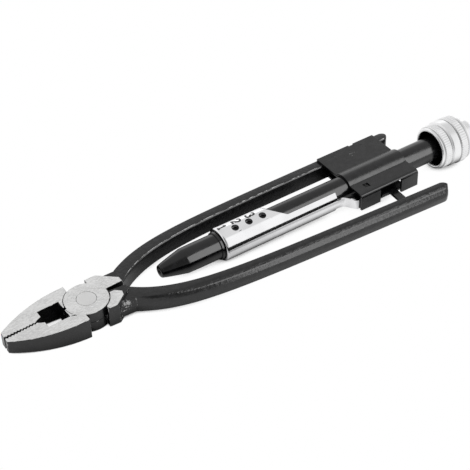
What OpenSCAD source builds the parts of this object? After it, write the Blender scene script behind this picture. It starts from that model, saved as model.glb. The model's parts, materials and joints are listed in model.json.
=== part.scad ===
// Safety wire pliers: two forged halves on a rivet, and a spiral twist unit that a
// folded bracket holds on one handle. +X runs from the jaws to the knob, +Z is up,
// and the origin is on the pivot axis at the underside of the joint. Millimetres.

/* [Jaws and pivot] */
// Thickness of the forged halves at the joint
joint_t = 10; // [9:0.5:12]
// Distance from the pivot to the jaw tips
jaw_length = 37.7; // [36:0.1:42]
// Half width of the closed jaws at their widest
jaw_half_w = 11.8; // [11:0.1:14]
// Half width of the closed jaws at the tips
tip_half_w = 2.1; // [1.5:0.1:4]
// Thickness of the jaws at the tips
tip_t = 6.2; // [4:0.1:9]
// Radius of the lap disc of each half
disc_r = 9.6; // [8.5:0.1:10]
// Distance from the pivot to the shoulders beside the lap discs
shoulder_x = 4.8; // [4:0.1:6]
// Radius of the pivot rivet
rivet_r = 4.2; // [3:0.1:5]
// Pitch of the jaw teeth
tooth_pitch = 1.4; // [1:0.1:2]
// Height of the jaw teeth
tooth_h = 0.6; // [0.4:0.1:1]
// Length of the pipe grip opening along the jaws
grip_l = 9.7; // [8:0.1:10.5]
// Depth of the pipe grip opening in each jaw
grip_depth = 5.1; // [4:0.1:6]
// Angle that the handles stand open at rest
rest_opening = 2.9; // [2.5:0.1:4]
// Angle that the handles still close from rest until the jaws are shut
shut_turn = 1.4; // [1.3:0.1:1.8]

/* [Handles] */
// Thickness of the handles
handle_t = 8; // [7:0.1:9]
// Width of the handles along their straight run
handle_w = 5.8; // [5:0.1:8]
// Distance from the pivot to the ends of the handles
handle_length = 171.8; // [168:0.1:180]
// Distance from the centre line to the inner side of the straight run
handle_gap = 16; // [14.5:0.1:18]
// Length over which the handles bend away from the joint
bend_length = 17.5; // [14:0.1:20]
// Width of each handle at its root
root_w = 9.2; // [8.5:0.1:10]
// Draft of the forged outer side, from the top face to the parting line
draft = 0.9; // [0.4:0.1:1.5]
// Chamfer of the inner edges
handle_chamfer = 0.6; // [0.2:0.1:1]

/* [Twist tube] */
// Outer radius of the tube
tube_r = 5.8; // [5.6:0.1:6]
// Distance of the tube's axis from the centre line, towards its handle
tube_y = 0.9; // [0:0.1:1.5]
// Height of the tube's axis above the middle plane
tube_z = 0.6; // [0:0.1:1]
// Wall of the tube
tube_wall = 1; // [0.8:0.1:1.2]
// Front end of the tube, from the pivot
tube_front = 65.2; // [62:0.1:68]
// Rear end of the tube, from the pivot
tube_rear = 188; // [186:0.5:189]
// Length of the nose cap in front of the tube
nose_l = 29.7; // [25:0.1:32]
// Radius of the nose cap's collar
nose_collar_r = 6.4; // [6.1:0.1:7]

/* [Latch sleeve] */
// Wall of the sleeve
sleeve_wall = 1.6; // [1.2:0.1:1.8]
// Length of the sleeve
sleeve_l = 59; // [56:0.5:60]
// Radius of the three holes in the sleeve
sleeve_hole_r = 1.7; // [1:0.1:2]
// Pitch of the three holes
sleeve_hole_pitch = 7.15; // [5:0.05:8]
// Distance from the sleeve's front to where the scoop starts
scoop_from = 24.5; // [24:0.5:30]
// Height of the scooped edges above the tube's axis, square to the tilted cut
scoop_z = 2.3; // [1.5:0.1:4]
// Tilt of the scoop's cut towards the tube's handle
scoop_turn = 25; // [15:1:30]
// Travel of the sleeve from free to locked
latch_travel = 5; // [3:0.1:5]

/* [Bracket] */
// Thickness of the bracket sheet
sheet_t = 1.1; // [0.8:0.1:1.3]
// Front edge of the bracket, from the pivot
bracket_front = 133.2; // [133.2:0.1:136]
// Length of the bracket
bracket_l = 32.3; // [28:0.1:34]
// Distance from the centre line to the outside of the flange
flange_y = 13.2; // [13:0.1:14]
// Reach of the lower strap's wing towards the other handle
strap_wing_y = 9.6; // [9:0.1:10.4]
// Depth of the flange below the middle plane
flange_drop = 3.2; // [2:0.1:4]
// Radius of the bracket rivets
bracket_rivet_r = 1.6; // [1:0.1:2]

/* [Spiral spindle] */
// Width of the twisted bar
bar_w = 6.8; // [6:0.1:7]
// Thickness of the twisted bar
bar_t = 2.4; // [1.6:0.1:3]
// Length of bar that makes one turn
lead = 42; // [36:1:60]
// Travel of the knob
pull = 90; // [60:1:92]
// Radius of the shank that the knob turns on
shank_r = 2.4; // [2:0.1:3]
// Length of the drive nut
nut_l = 9; // [6:0.5:10]

/* [Knob] */
// Front rim of the knob, from the pivot
knob_front = 184.3; // [183:0.1:186]
// Radius of the front knurled band
knob_r = 10.6; // [10:0.1:12]
// Radius of the rear knurled band
knob_rear_r = 11.4; // [11:0.1:13]
// Length of the knob without its end boss
knob_l = 16.7; // [16:0.1:20]
// Radius of the cup that covers the tube's end
cup_r = 8.4; // [7.5:0.1:9]
// Depth of the cup
cup_depth = 8.2; // [7:0.1:8.5]
// Radius of the end boss
boss_r = 7.5; // [6.5:0.1:9]
// Length of the end boss
boss_l = 6; // [3:0.1:8]
// Number of ridges round the knurled bands
knurl_count = 60; // [40:1:72]

/* [Clearances] */
// Gap between pieces that slide or swing past each other
slide_gap = 0.3; // [0.2:0.05:0.5]
// Radial gap of a running fit
run_gap = 0.06; // [0.03:0.01:0.1]
// Gap between fixed pieces
seat_gap = 0.02; // [0.01:0.01:0.05]
// Gap between the meshed teeth with the jaws shut
face_gap = 0.1; // [0.1:0.05:0.5]

/* [Hidden] */

$fn = 96;
// Height of the middle plane of the forged halves
mid = joint_t / 2;
// Margin that makes a cut pass its faces
over = 1;

// Jaws
grip_rear = disc_r + 0.9;
grip_front = grip_rear + grip_l;
lead_in_l = 2.2;
lead_in_depth = 1.75;
stub_gap = 0.6;
belly_x = 6;
valley = (tooth_h + face_gap) / 2;
jaw_turn = rest_opening - shut_turn;
jaw_rise = jaw_half_w - tip_half_w;
jaw_arc_r = (pow(jaw_length - belly_x, 2) + pow(jaw_rise, 2)) / (2 * jaw_rise);

// Handle roots
root_gap = 1;
root_x = 18;
root_step = 0.4;
root_block_l = 17.7;
root_corner_x = 9.9;
root_corner_y = root_gap + root_w + root_step;
root_end_y = 3.8;
slot_x = disc_r;
// Angles of the sections round the end of a handle
tip_turns = [30, 55, 75, 87];

// Twist unit
tube_bore = tube_r - tube_wall;
sleeve_bore = tube_r + slide_gap;
sleeve_r = sleeve_bore + sleeve_wall;
sleeve_front = tube_front + slide_gap;
sleeve_rear = sleeve_front + sleeve_l;
spigot_l = 7;
nose_break = 12;
nose_tip_r = 3;
nose_round = 0.9;
nose_break_r = tube_r - 0.15;
dimple_r = 1.2;
dimple_depth = 0.6;
collar_l = 1.3;
nose_pin_r = 1;
ring_x = 75.9;
ring_w = 2;
ring_depth = tube_wall / 2;
rim_chamfer = 1;
hole_start = 7.8;
hole_angle = 14.5;
scoop_rise = 8.5;

// Tail strip of the sleeve, inside the bracket's flange
strip_out_y = flange_y - sheet_t - slide_gap;
strip_t = 0.9;
strip_top = 2.4;
strip_bottom = -2.8;
strip_bend_l = 5;
strip_root_l = 3;
strip_run_l = 3;
hook_inset = 11.8;
hook_front = bracket_front + hook_inset;
catch_overlap = 3.5;
strip_rear = hook_front + catch_overlap - latch_travel;

// Bracket
bracket_rear = bracket_front + bracket_l;
saddle_in = tube_r + seat_gap;
saddle_out = saddle_in + sheet_t;
plate_y = handle_gap + handle_w - draft;
relief_inset = 14.2;
relief_x = bracket_rear - relief_inset;
relief_l = 2.6;
relief_depth = 0.7;
rivet_inset = 8;
rivet_y = handle_gap + handle_w / 2;
rivet_x = [bracket_front + rivet_inset, bracket_rear - rivet_inset];
strap_inset = 4;
notch_front = hook_front - over;
notch_l = 12;
notch_top = handle_t / 2 + 0.3;
pierce_inset = 5.1;
pierce_x = bracket_front + pierce_inset;
pierce_l = 2.8;
pierce_y = 6.4;

// Catch hook, in the frame of handle B with the handles parallel
hook_t = 1.4;
hook_l = 8;
prong_w = 1.2;
stem_w = 3.6;
shut_margin = 0.2;
prong_y = strip_out_y - strip_t - slide_gap - hook_front * sin(jaw_turn + shut_margin);
hook_seat = 3.4;
hook_foot_l = 9;
hook_foot_x = hook_front + 2;
hook_rivet_r = 0.9;
hook_rivet_pitch = 4;
hook_rivet_x = [for (side = [-1, 1]) hook_foot_x + (hook_foot_l + side * hook_rivet_pitch) / 2];

// Spindle and knob
stop_l = 4;
stop_r = tube_bore - slide_gap;
washer_t = 1;
washer_r = 5.5;
axial_gap = slide_gap / 2;
nut_rear = tube_rear - 1;
retainer_l = 1.5;
floor_front = knob_front + cup_depth;
floor_t = 3;
floor_rear = floor_front + floor_t;
bar_rear = floor_front - 2 * axial_gap - washer_t;
stop_margin = 2;
bar_front = nut_rear - nut_l - retainer_l - pull - stop_l - stop_margin;
twist_rate = 360 / lead;
spindle_nut_l = 2.2;
spindle_nut_af = 7;
spindle_nut_front = floor_rear + 2 * axial_gap + washer_t;
shank_rear = spindle_nut_front + spindle_nut_l + 0.2;
knob_rear = knob_front + knob_l;
cavity_r = washer_r + 1;
boss_spigot_l = 1.2;
knurl_depth = 0.4;

steel = [0.83, 0.83, 0.82];
black = [0.13, 0.13, 0.14];
chrome = [0.90, 0.91, 0.92];
brass = [0.80, 0.66, 0.34];

// Shapes along the tube's axis: 2-D x becomes Y and 2-D y becomes Z
module along_x(x) {
    translate([x, tube_y, mid + tube_z]) rotate([90, 0, 90]) children();
}

// The same, but on the centre line and the middle plane
module across_x(x) {
    translate([x, 0, mid]) rotate([90, 0, 90]) children();
}

// Revolves a profile of [radius, x] points about the tube's axis
module turned(profile) {
    along_x(0) rotate_extrude() polygon(profile);
}

// Half B in its own frame is half A turned over about the X axis, then swung open
module place_b() {
    translate([0, 0, mid]) rotate([0, 0, -rest_opening]) rotate([180, 0, 0])
        translate([0, 0, -mid]) children();
}

// Closed loft through rings of equal point counts
module loft(rings) {
    n = len(rings[0]);
    last = len(rings) - 1;
    points = [for (ring = rings) each ring];
    sides = [for (i = [0:last - 1], j = [0:n - 1])
        [i * n + j, (i + 1) * n + j, (i + 1) * n + (j + 1) % n, i * n + (j + 1) % n]];
    front = [for (j = [0:n - 1]) j];
    back = [for (j = [n - 1:-1:0]) last * n + j];
    polyhedron(points, concat(sides, [front, back]));
}

// Handle edges: both die away to the straight run with the same bend length
function bend(x) = exp(-(max(x, root_x) - root_x) / bend_length);
function inner_y(x) = handle_gap - (handle_gap - root_gap) * bend(x);
function outer_y(x) = handle_gap + handle_w - (handle_gap + handle_w - root_gap - root_w) * bend(x);

// Forged section at x, narrowed towards the rounded end by the share s
function handle_ring(x, s) =
    let (
        middle = (inner_y(x) + outer_y(x)) / 2,
        half = s * (outer_y(x) - inner_y(x)) / 2,
        inside = middle - half,
        outside = middle + half,
        c = s * handle_chamfer,
        d = s * draft,
        z = handle_t / 2
    )
    [for (p = [[inside, c - z], [inside + c, -z], [outside - d, -z], [outside, 0],
        [outside - d, z], [inside + c, z], [inside, z - c]]) [x, p[0], mid + p[1]]];

// Teeth from the lead-in to past the tip, shifted by a share of the pitch
function teeth(shift) =
    let (from = grip_front + lead_in_l, n = ceil((jaw_length - from) / tooth_pitch))
    [for (i = [0:n], half = [0, 1])
        [-(from + (i + shift + half / 2) * tooth_pitch), half == 0 ? -valley : tooth_h - valley]];

// Plan of one jaw: a round belly, and the pipe grip notch and the teeth turned by an angle
module jaw_plan(shift, turn) {
    low = -jaw_half_w - over;
    far = -jaw_length - 2 * tooth_pitch;
    intersection() {
        translate([-belly_x, jaw_arc_r - jaw_half_w]) circle(jaw_arc_r, $fn = 240);
        rotate(-turn) polygon(concat(
            [[far, low], [-shoulder_x, low], [-shoulder_x, -disc_r / 2], [-disc_r + over, -stub_gap],
                [-grip_rear, -stub_gap], [-grip_rear, -grip_depth], [-grip_front, -grip_depth],
                [-grip_front, -lead_in_depth]],
            teeth(shift), [[far, -valley]]));
        translate([-jaw_length, low]) square([jaw_length, jaw_half_w + 3 * over]);
    }
}

// Jaw, tapered in thickness from the shoulder to the tip
module jaw(shift, turn) {
    intersection() {
        linear_extrude(joint_t) jaw_plan(shift, turn);
        translate([0, 2 * over, mid]) rotate([90, 0, 0]) linear_extrude(jaw_half_w + 3 * over)
            polygon([[-jaw_length, -tip_t / 2], [-jaw_length, tip_t / 2], [-shoulder_x, mid],
                [0, mid], [0, -mid], [-shoulder_x, -mid]]);
    }
}

// Full thickness block at the root of a handle, ground with the jaw
module root_block() {
    linear_extrude(joint_t)
        polygon([[shoulder_x, root_corner_y], [root_corner_x, root_corner_y],
            [root_block_l, root_end_y], [root_block_l, root_gap], [slot_x, root_gap - root_step],
            [shoulder_x, 0]]);
}

module handle_bar() {
    end_x = handle_length - handle_w / 2;
    steps = 24;
    run = [for (i = [0:steps]) root_x + (end_x - root_x) * pow(i / steps, 1.7)];
    loft(concat(
        [handle_ring(root_corner_x - 1, 1)],
        [for (x = run) handle_ring(x, 1)],
        [for (a = tip_turns) handle_ring(end_x + handle_w / 2 * sin(a), cos(a))]));
}

// One forged half: jaw, upper lap disc, root block and handle
module forged_half(shift, turn) {
    difference() {
        union() {
            jaw(shift, turn);
            root_block();
            handle_bar();
        }
        translate([0, 0, -over]) cylinder(r = disc_r + slide_gap, h = joint_t + 2 * over);
    }
    translate([0, 0, mid + slide_gap / 4]) lap_disc(shift, turn);
}

// Upper lap disc with the webs that tie it to the jaw and the handle
module lap_disc(shift, turn) {
    h = mid - slide_gap / 4;
    difference() {
        union() {
            cylinder(r = disc_r, h = h);
            intersection() {
                cylinder(r = disc_r + 2 * slide_gap, h = h);
                linear_extrude(h) lap_web(shift, turn);
            }
        }
        translate([0, 0, -over]) cylinder(r = rivet_r + seat_gap, h = h + 2 * over);
    }
}

module lap_web(shift, turn) {
    jaw_plan(shift, turn);
    polygon([[shoulder_x, root_corner_y], [root_corner_x + over, root_corner_y],
        [root_corner_x + over, root_gap - root_step], [shoulder_x, 0]]);
}

module handle_a() {
    color(black) difference() {
        forged_half(0, 0);
        rivet_holes();
    }
}

module handle_b() {
    color(black) difference() {
        place_b() forged_half(0.5, jaw_turn);
        translate([0, 0, -over]) cylinder(r = rivet_r + run_gap, h = joint_t + 2 * over);
        place_b() hook_foot(seat_gap);
        place_b() hook_pins(hook_rivet_r + seat_gap, over);
    }
}

module pivot_rivet() {
    color(steel) cylinder(r = rivet_r, h = joint_t);
}

// Blunt cone, a little full, up to the break, then a slight taper to the tube's radius
module nose_cap() {
    tip_x = tube_front - nose_l;
    steps = 8;
    blunt = [for (i = [0:steps]) let (a = 90 * i / steps)
        [nose_tip_r - nose_round * (1 - sin(a)), tip_x + nose_round * (1 - cos(a))]];
    cone = [for (i = [1:steps]) let (t = i / steps)
        [nose_tip_r + (nose_break_r - nose_tip_r) * pow(t, 0.9),
            tip_x + nose_round + (nose_break - nose_round) * t]];
    color(black) difference() {
        turned(concat([[0, tip_x + dimple_depth], [dimple_r - dimple_depth / 2, tip_x + dimple_depth],
                [dimple_r, tip_x]], blunt, cone,
            [[tube_r, tip_x + 1.5 * nose_break], [tube_r, tube_front - collar_l],
                [nose_collar_r, tube_front - collar_l], [nose_collar_r, tube_front],
                [tube_bore - seat_gap, tube_front], [tube_bore - seat_gap, tube_front + spigot_l],
                [0, tube_front + spigot_l]]));
        nose_pin_shape(seat_gap);
    }
}

module nose_pin_shape(gap) {
    l = 2 * (tube_r - 0.1 + gap);
    translate([tube_front + spigot_l / 2, tube_y, mid + tube_z]) rotate([90, 0, 0])
        cylinder(r = nose_pin_r + gap, h = l, center = true);
}

module nose_pin() {
    color(steel) nose_pin_shape(0);
}

module twist_tube() {
    color(black) difference() {
        turned([[tube_bore, tube_front], [tube_r, tube_front],
            [tube_r, ring_x], [tube_r - ring_depth, ring_x],
            [tube_r - ring_depth, ring_x + ring_w], [tube_r, ring_x + ring_w],
            [tube_r, tube_rear - 0.5], [tube_r - 0.5, tube_rear], [tube_bore, tube_rear]]);
        nose_pin_shape(seat_gap);
    }
}

// Split ring in the tube's groove that rubs in the sleeve's bore
module friction_ring() {
    r_in = tube_r - ring_depth + seat_gap;
    r_out = sleeve_bore - run_gap;
    color(steel) difference() {
        turned([[r_in, ring_x + seat_gap], [r_out, ring_x + 3 * seat_gap],
            [r_out, ring_x + ring_w - 3 * seat_gap], [r_in, ring_x + ring_w - seat_gap]]);
        along_x(ring_x - over) translate([-1, -sleeve_r]) linear_extrude(ring_w + 2 * over)
            square([2, sleeve_r]);
    }
}

// Section of the saddle over a tube at axis_z with flat sheet on both sides
module saddle_section(axis_z, y_low, y_high) {
    z = handle_t / 2;
    difference() {
        union() {
            intersection() {
                translate([tube_y, axis_z]) circle(saddle_out);
                translate([tube_y - saddle_out, z]) square([2 * saddle_out, saddle_out + over]);
            }
            translate([y_low, z]) square([y_high - y_low, sheet_t]);
        }
        translate([tube_y, axis_z]) circle(saddle_in);
    }
}

// Flange that hangs from the near edge of the sheet, with a rolled corner
module flange_section() {
    z = handle_t / 2 + sheet_t;
    fold_r = 2 * sheet_t;
    translate([-flange_y, -flange_drop]) square([sheet_t, flange_drop + z - fold_r]);
    translate([-flange_y + fold_r, z - fold_r]) intersection() {
        difference() {
            circle(fold_r);
            circle(fold_r - sheet_t);
        }
        translate([-fold_r, 0]) square(fold_r);
    }
}

module bracket_top() {
    z = handle_t / 2;
    color(black) difference() {
        across_x(bracket_front) linear_extrude(bracket_l) {
            saddle_section(tube_z, -flange_y + 2 * sheet_t, plate_y);
            flange_section();
        }
        translate([relief_x, plate_y - relief_depth, mid + z - over])
            cube([relief_l, relief_depth + over, sheet_t + 2 * over]);
        translate([notch_front, -flange_y - over, mid - flange_drop - over])
            cube([notch_l, sheet_t + 2 * over, flange_drop + over + notch_top]);
        translate([pierce_x, -pierce_y - pierce_l, mid + z - over])
            cube([pierce_l, pierce_l, sheet_t + 2 * over]);
        rivet_holes();
    }
}

module bracket_bottom() {
    strap_l = bracket_l - 2 * strap_inset;
    color(black) difference() {
        across_x(bracket_front + strap_inset) mirror([0, 1, 0]) linear_extrude(strap_l)
            saddle_section(-tube_z, -strap_wing_y, plate_y);
        rivet_holes();
    }
}

module rivet_holes() {
    for (x = rivet_x) translate([x, rivet_y, -over])
        cylinder(r = bracket_rivet_r + seat_gap, h = joint_t + 2 * over);
}

module bracket_rivets() {
    h = handle_t + 2 * sheet_t;
    color(black) for (x = rivet_x) translate([x, rivet_y, mid - h / 2])
        cylinder(r = bracket_rivet_r, h = h);
}

// Stretch of the twisted bar, wider by a gap all round where it cuts a slot
module twisted_bar(gap, from, to) {
    l = to - from;
    along_x(from) rotate([0, 0, twist_rate * (from - bar_front)])
        linear_extrude(l, twist = -twist_rate * l, slices = ceil(l), segments = 12)
            square([bar_w + 2 * gap, bar_t + 2 * gap], center = true);
}

module drive_nut() {
    color(brass) difference() {
        along_x(nut_rear - nut_l) cylinder(r = tube_bore - seat_gap, h = nut_l);
        twisted_bar(slide_gap, nut_rear - nut_l - over, nut_rear + over);
    }
}

module nut_retainer() {
    front = nut_rear - nut_l - retainer_l;
    r_in = bar_w / 2 + 2 * slide_gap;
    color(steel) turned([[r_in, front], [tube_bore - seat_gap, front],
        [tube_bore - seat_gap, front + retainer_l], [r_in, front + retainer_l]]);
}

module twist_spindle() {
    color(steel) difference() {
        union() {
            twisted_bar(0, bar_front, bar_rear);
            along_x(bar_rear) cylinder(r = shank_r, h = shank_rear - bar_rear);
        }
        stop_pin_shape(seat_gap);
    }
}

module spindle_stop() {
    color(steel) difference() {
        along_x(bar_front) cylinder(r = stop_r, h = stop_l);
        twisted_bar(seat_gap, bar_front - over, bar_front + stop_l + over);
        stop_pin_shape(seat_gap);
    }
}

// Cross pin through the thickness of the bar
module stop_pin_shape(gap) {
    turn = twist_rate * stop_l / 2;
    along_x(bar_front + stop_l / 2) rotate([0, 0, turn]) rotate([90, 0, 0])
        cylinder(r = 0.8 + gap, h = 2 * stop_r - 0.6, center = true);
}

module stop_pin() {
    color(steel) stop_pin_shape(0);
}

module spindle_nut() {
    color(steel) difference() {
        along_x(spindle_nut_front) cylinder(d = spindle_nut_af / cos(30), h = spindle_nut_l, $fn = 6);
        along_x(spindle_nut_front - over) cylinder(r = shank_r + seat_gap, h = spindle_nut_l + 2 * over);
    }
}

module washer(x) {
    turned([[shank_r + run_gap, x], [washer_r, x], [washer_r, x + washer_t],
        [shank_r + run_gap, x + washer_t]]);
}

module front_washer() {
    color(brass) washer(floor_front - axial_gap - washer_t);
}

module rear_washer() {
    color(brass) washer(floor_rear + axial_gap);
}

// Chrome sleeve with its scooped top, three holes and the tail strip
module latch_sleeve() {
    top = sleeve_r + over;
    scoop_x = sleeve_front + scoop_from;
    color(chrome) union() {
        difference() {
            turned([[sleeve_bore, sleeve_front], [sleeve_r - rim_chamfer, sleeve_front],
                [sleeve_r, sleeve_front + rim_chamfer], [sleeve_r, sleeve_rear],
                [sleeve_bore, sleeve_rear]]);
            translate([0, tube_y, mid + tube_z]) rotate([90 - scoop_turn, 0, 0])
                linear_extrude(2 * top, center = true)
                    polygon([[scoop_x, sleeve_r], [scoop_x + scoop_rise, scoop_z],
                    [sleeve_rear + over, scoop_z], [sleeve_rear + over, top], [scoop_x, top]]);
            for (i = [0:2])
                translate([sleeve_front + hole_start + i * sleeve_hole_pitch, tube_y, mid + tube_z])
                    rotate([hole_angle, 0, 0]) cylinder(r = sleeve_hole_r, h = top);
        }
        tail_strip();
    }
}

// Strip that leaves the near side of the sleeve and steps out to the flange in an S
module tail_strip() {
    y0 = tube_y - sleeve_r;
    bend_x = sleeve_rear + strip_run_l;
    step = -strip_out_y - y0;
    steps = 10;
    bend = [for (i = [0:steps]) let (t = i / steps)
        [bend_x + strip_bend_l * t, y0 + step * t * t * (3 - 2 * t)]];
    slope = [for (i = [0:steps]) let (t = i / steps) step / strip_bend_l * 6 * t * (1 - t)];
    back = [for (i = [steps:-1:0]) let (n = strip_t / sqrt(1 + pow(slope[i], 2)))
        bend[i] + n * [-slope[i], 1]];
    translate([0, 0, mid + strip_bottom]) linear_extrude(strip_top - strip_bottom)
        polygon(concat([[sleeve_rear - strip_root_l, y0]], bend,
            [[strip_rear, y0 + step], [strip_rear, y0 + step + strip_t]], back,
            [[sleeve_rear - strip_root_l, y0 + strip_t]]));
}

// Foot of the hook in the slot of handle B, in the frame of the unflipped half
module hook_foot(gap) {
    translate([hook_foot_x, handle_gap - over, mid - hook_t / 2 - gap])
        cube([hook_foot_l, hook_seat + over + gap, hook_t + 2 * gap]);
}

module hook_pins(r, past) {
    for (x = hook_rivet_x) translate([x, handle_gap + hook_seat / 2, mid - handle_t / 2 - past])
        cylinder(r = r, h = handle_t + 2 * past);
}

module catch_hook() {
    stem_x = hook_front + hook_l - stem_w;
    color(black) place_b() difference() {
        translate([0, 0, mid - hook_t / 2]) linear_extrude(hook_t) {
            translate([hook_front, prong_y - prong_w]) square([hook_l, prong_w]);
            translate([stem_x, prong_y - prong_w]) square([stem_w, handle_gap - prong_y + prong_w]);
            translate([hook_foot_x, handle_gap - over]) square([hook_foot_l, hook_seat + over]);
        }
        hook_pins(hook_rivet_r + seat_gap, over);
    }
}

module hook_rivets() {
    color(steel) place_b() hook_pins(hook_rivet_r, 0);
}

// Straight knurl: a ring of ridges between two radii
module knurl_band(x, l, r) {
    along_x(x) linear_extrude(l)
        polygon([for (i = [0:2 * knurl_count - 1])
            let (a = 180 * i / knurl_count, q = i % 2 == 0 ? r : r - knurl_depth)
            [q * cos(a), q * sin(a)]]);
}

module knob_shell() {
    x = knob_front;
    plain_r = (knob_r + knob_rear_r) / 2;
    color(chrome) difference() {
        union() {
            turned([[0, x], [knob_r - 0.9, x], [knob_r - 0.6, x + 0.5], [knob_r - 0.6, x + 5.6],
                [plain_r - 0.4, x + 5.9], [plain_r, x + 6.3], [plain_r, x + 9.9],
                [plain_r - 0.4, x + 10.3], [knob_rear_r - 0.6, x + 10.8],
                [knob_rear_r - 0.6, x + 14.2], [knob_rear_r - 1, knob_rear], [0, knob_rear]]);
            knurl_band(x + 1.7, 3.5, knob_r);
            knurl_band(x + 10.8, 3.4, knob_rear_r);
        }
        along_x(x - over) cylinder(r = cup_r, h = cup_depth + over);
        along_x(x) cylinder(r = shank_r + run_gap, h = knob_l + over);
        along_x(floor_rear) cylinder(r = cavity_r, h = knob_l + over);
    }
}

module knob_end_cap() {
    x = knob_rear;
    color(chrome) turned([[0, x - boss_spigot_l], [cavity_r - seat_gap, x - boss_spigot_l],
        [cavity_r - seat_gap, x], [boss_r, x], [boss_r, x + boss_l - 1.2], [boss_r - 0.4, x + boss_l - 0.4],
        [boss_r - 1.2, x + boss_l], [0, x + boss_l]]);
}

handle_a();
handle_b();
pivot_rivet();
nose_cap();
nose_pin();
twist_tube();
friction_ring();
bracket_top();
bracket_bottom();
bracket_rivets();
drive_nut();
nut_retainer();
twist_spindle();
spindle_stop();
stop_pin();
spindle_nut();
front_washer();
rear_washer();
latch_sleeve();
catch_hook();
hook_rivets();
knob_shell();
knob_end_cap();
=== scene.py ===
"""Looks of a pair of safety wire pliers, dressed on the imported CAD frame.

The frame is in metres: the origin is on the pivot axis at the joint's underside, +X runs from the
jaws to the knob and +Z is up. Sizes of pieces are in millimetres, and meshes are scaled by MM.
The studio's places are in metres.
"""
import json
import logging
import math
from dataclasses import dataclass
from enum import Enum

import bmesh
import bpy
import numpy as np
from mathutils import Matrix, Vector


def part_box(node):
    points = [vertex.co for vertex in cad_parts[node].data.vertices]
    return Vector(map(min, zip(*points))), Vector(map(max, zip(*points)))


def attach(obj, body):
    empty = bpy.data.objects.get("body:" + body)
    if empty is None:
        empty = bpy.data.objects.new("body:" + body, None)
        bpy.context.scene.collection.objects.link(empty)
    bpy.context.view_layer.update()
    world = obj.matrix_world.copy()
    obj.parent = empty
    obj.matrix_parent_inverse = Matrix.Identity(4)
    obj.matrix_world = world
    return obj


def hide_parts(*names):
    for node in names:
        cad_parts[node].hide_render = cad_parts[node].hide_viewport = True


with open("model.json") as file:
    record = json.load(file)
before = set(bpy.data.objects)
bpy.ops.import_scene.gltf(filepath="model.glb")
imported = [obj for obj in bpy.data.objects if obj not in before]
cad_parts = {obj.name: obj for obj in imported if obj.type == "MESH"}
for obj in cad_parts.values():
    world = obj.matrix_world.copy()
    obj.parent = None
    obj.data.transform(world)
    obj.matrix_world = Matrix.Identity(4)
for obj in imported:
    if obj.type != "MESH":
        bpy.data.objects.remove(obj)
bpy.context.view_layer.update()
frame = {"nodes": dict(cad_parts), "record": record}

LOG = logging.getLogger("pliers")
MM = 0.001
MIDDLE = 5.0  # height of the tool's middle plane
HANDLE_T = 8.0  # thickness of both handles
FAR = 99.0  # past every edge of the tool
EDGE_DEG = 50  # sharper edges of the sheets are rounded
ROUND_SHARE = 0.45  # most of a side that a rounded corner takes
WELD = 1e-6  # metres below which points are merged
SLACK = 1e-6  # room in comparing angles

Array = np.ndarray
Thing = bpy.types.Object
Node = bpy.types.Node
Socket = bpy.types.NodeSocket
Colour = tuple[float, float, float]
Place = tuple[float, float, float]
Pairs = tuple[tuple[float, float], ...]
Sheet = tuple[Array, Array, Array]


class Body(str, Enum):
    """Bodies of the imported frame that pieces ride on."""

    HALF_A = "half_a"
    HALF_B = "half_b"
    LATCH = "latch"
    SPINDLE = "spindle"
    KNOB = "knob"


class Slot(str, Enum):
    """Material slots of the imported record."""

    FORGED = "forged_black"
    STEEL = "bright_steel"
    GLOSS = "black_gloss"
    SATIN = "black_satin"
    SHEET = "black_sheet"
    CHROME = "chrome_plate"
    KNOB = "bright_knob"
    BRASS = "brass"


class Mask(str, Enum):
    """Attributes that the finishes read from a mesh."""

    GROUND = "ground"
    # edge wear on the black finishes, painted shade on the bright knob
    MARK = "mark"


class Link(str, Enum):
    """What a lamp does with the pieces that it is linked to."""

    SPARES = "EXCLUDE"
    LIGHTS_ONLY = "INCLUDE"


# Arrays and meshes

def box_mm(node: str) -> tuple[Array, Array]:
    """Lowest and highest corner of a CAD node, in millimetres."""
    low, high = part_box(node)
    return np.array(low) / MM, np.array(high) / MM


def radius_mm(node: str) -> float:
    """Half the height of a CAD node that is turned about X, in millimetres."""
    low, high = box_mm(node)
    return (high[2] - low[2]) / 2


def join(*parts: Array | float) -> Array:
    """Coordinates broadcast to one shape and stacked along a new last axis."""
    return np.stack(np.broadcast_arrays(*parts), axis=-1)


def unit(value: Array) -> Array:
    """A value held between 0 and 1."""
    return np.clip(value, 0, 1)


def smooth(t: Array) -> Array:
    """A rise from 0 to 1 that is level at both ends: t^2 (3 - 2t)."""
    return t * t * (3 - 2 * t)


def turn_angles(columns: int) -> Array:
    """Angles of the columns of one full turn, in radians."""
    return np.arange(columns) * 2 * np.pi / columns


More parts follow.
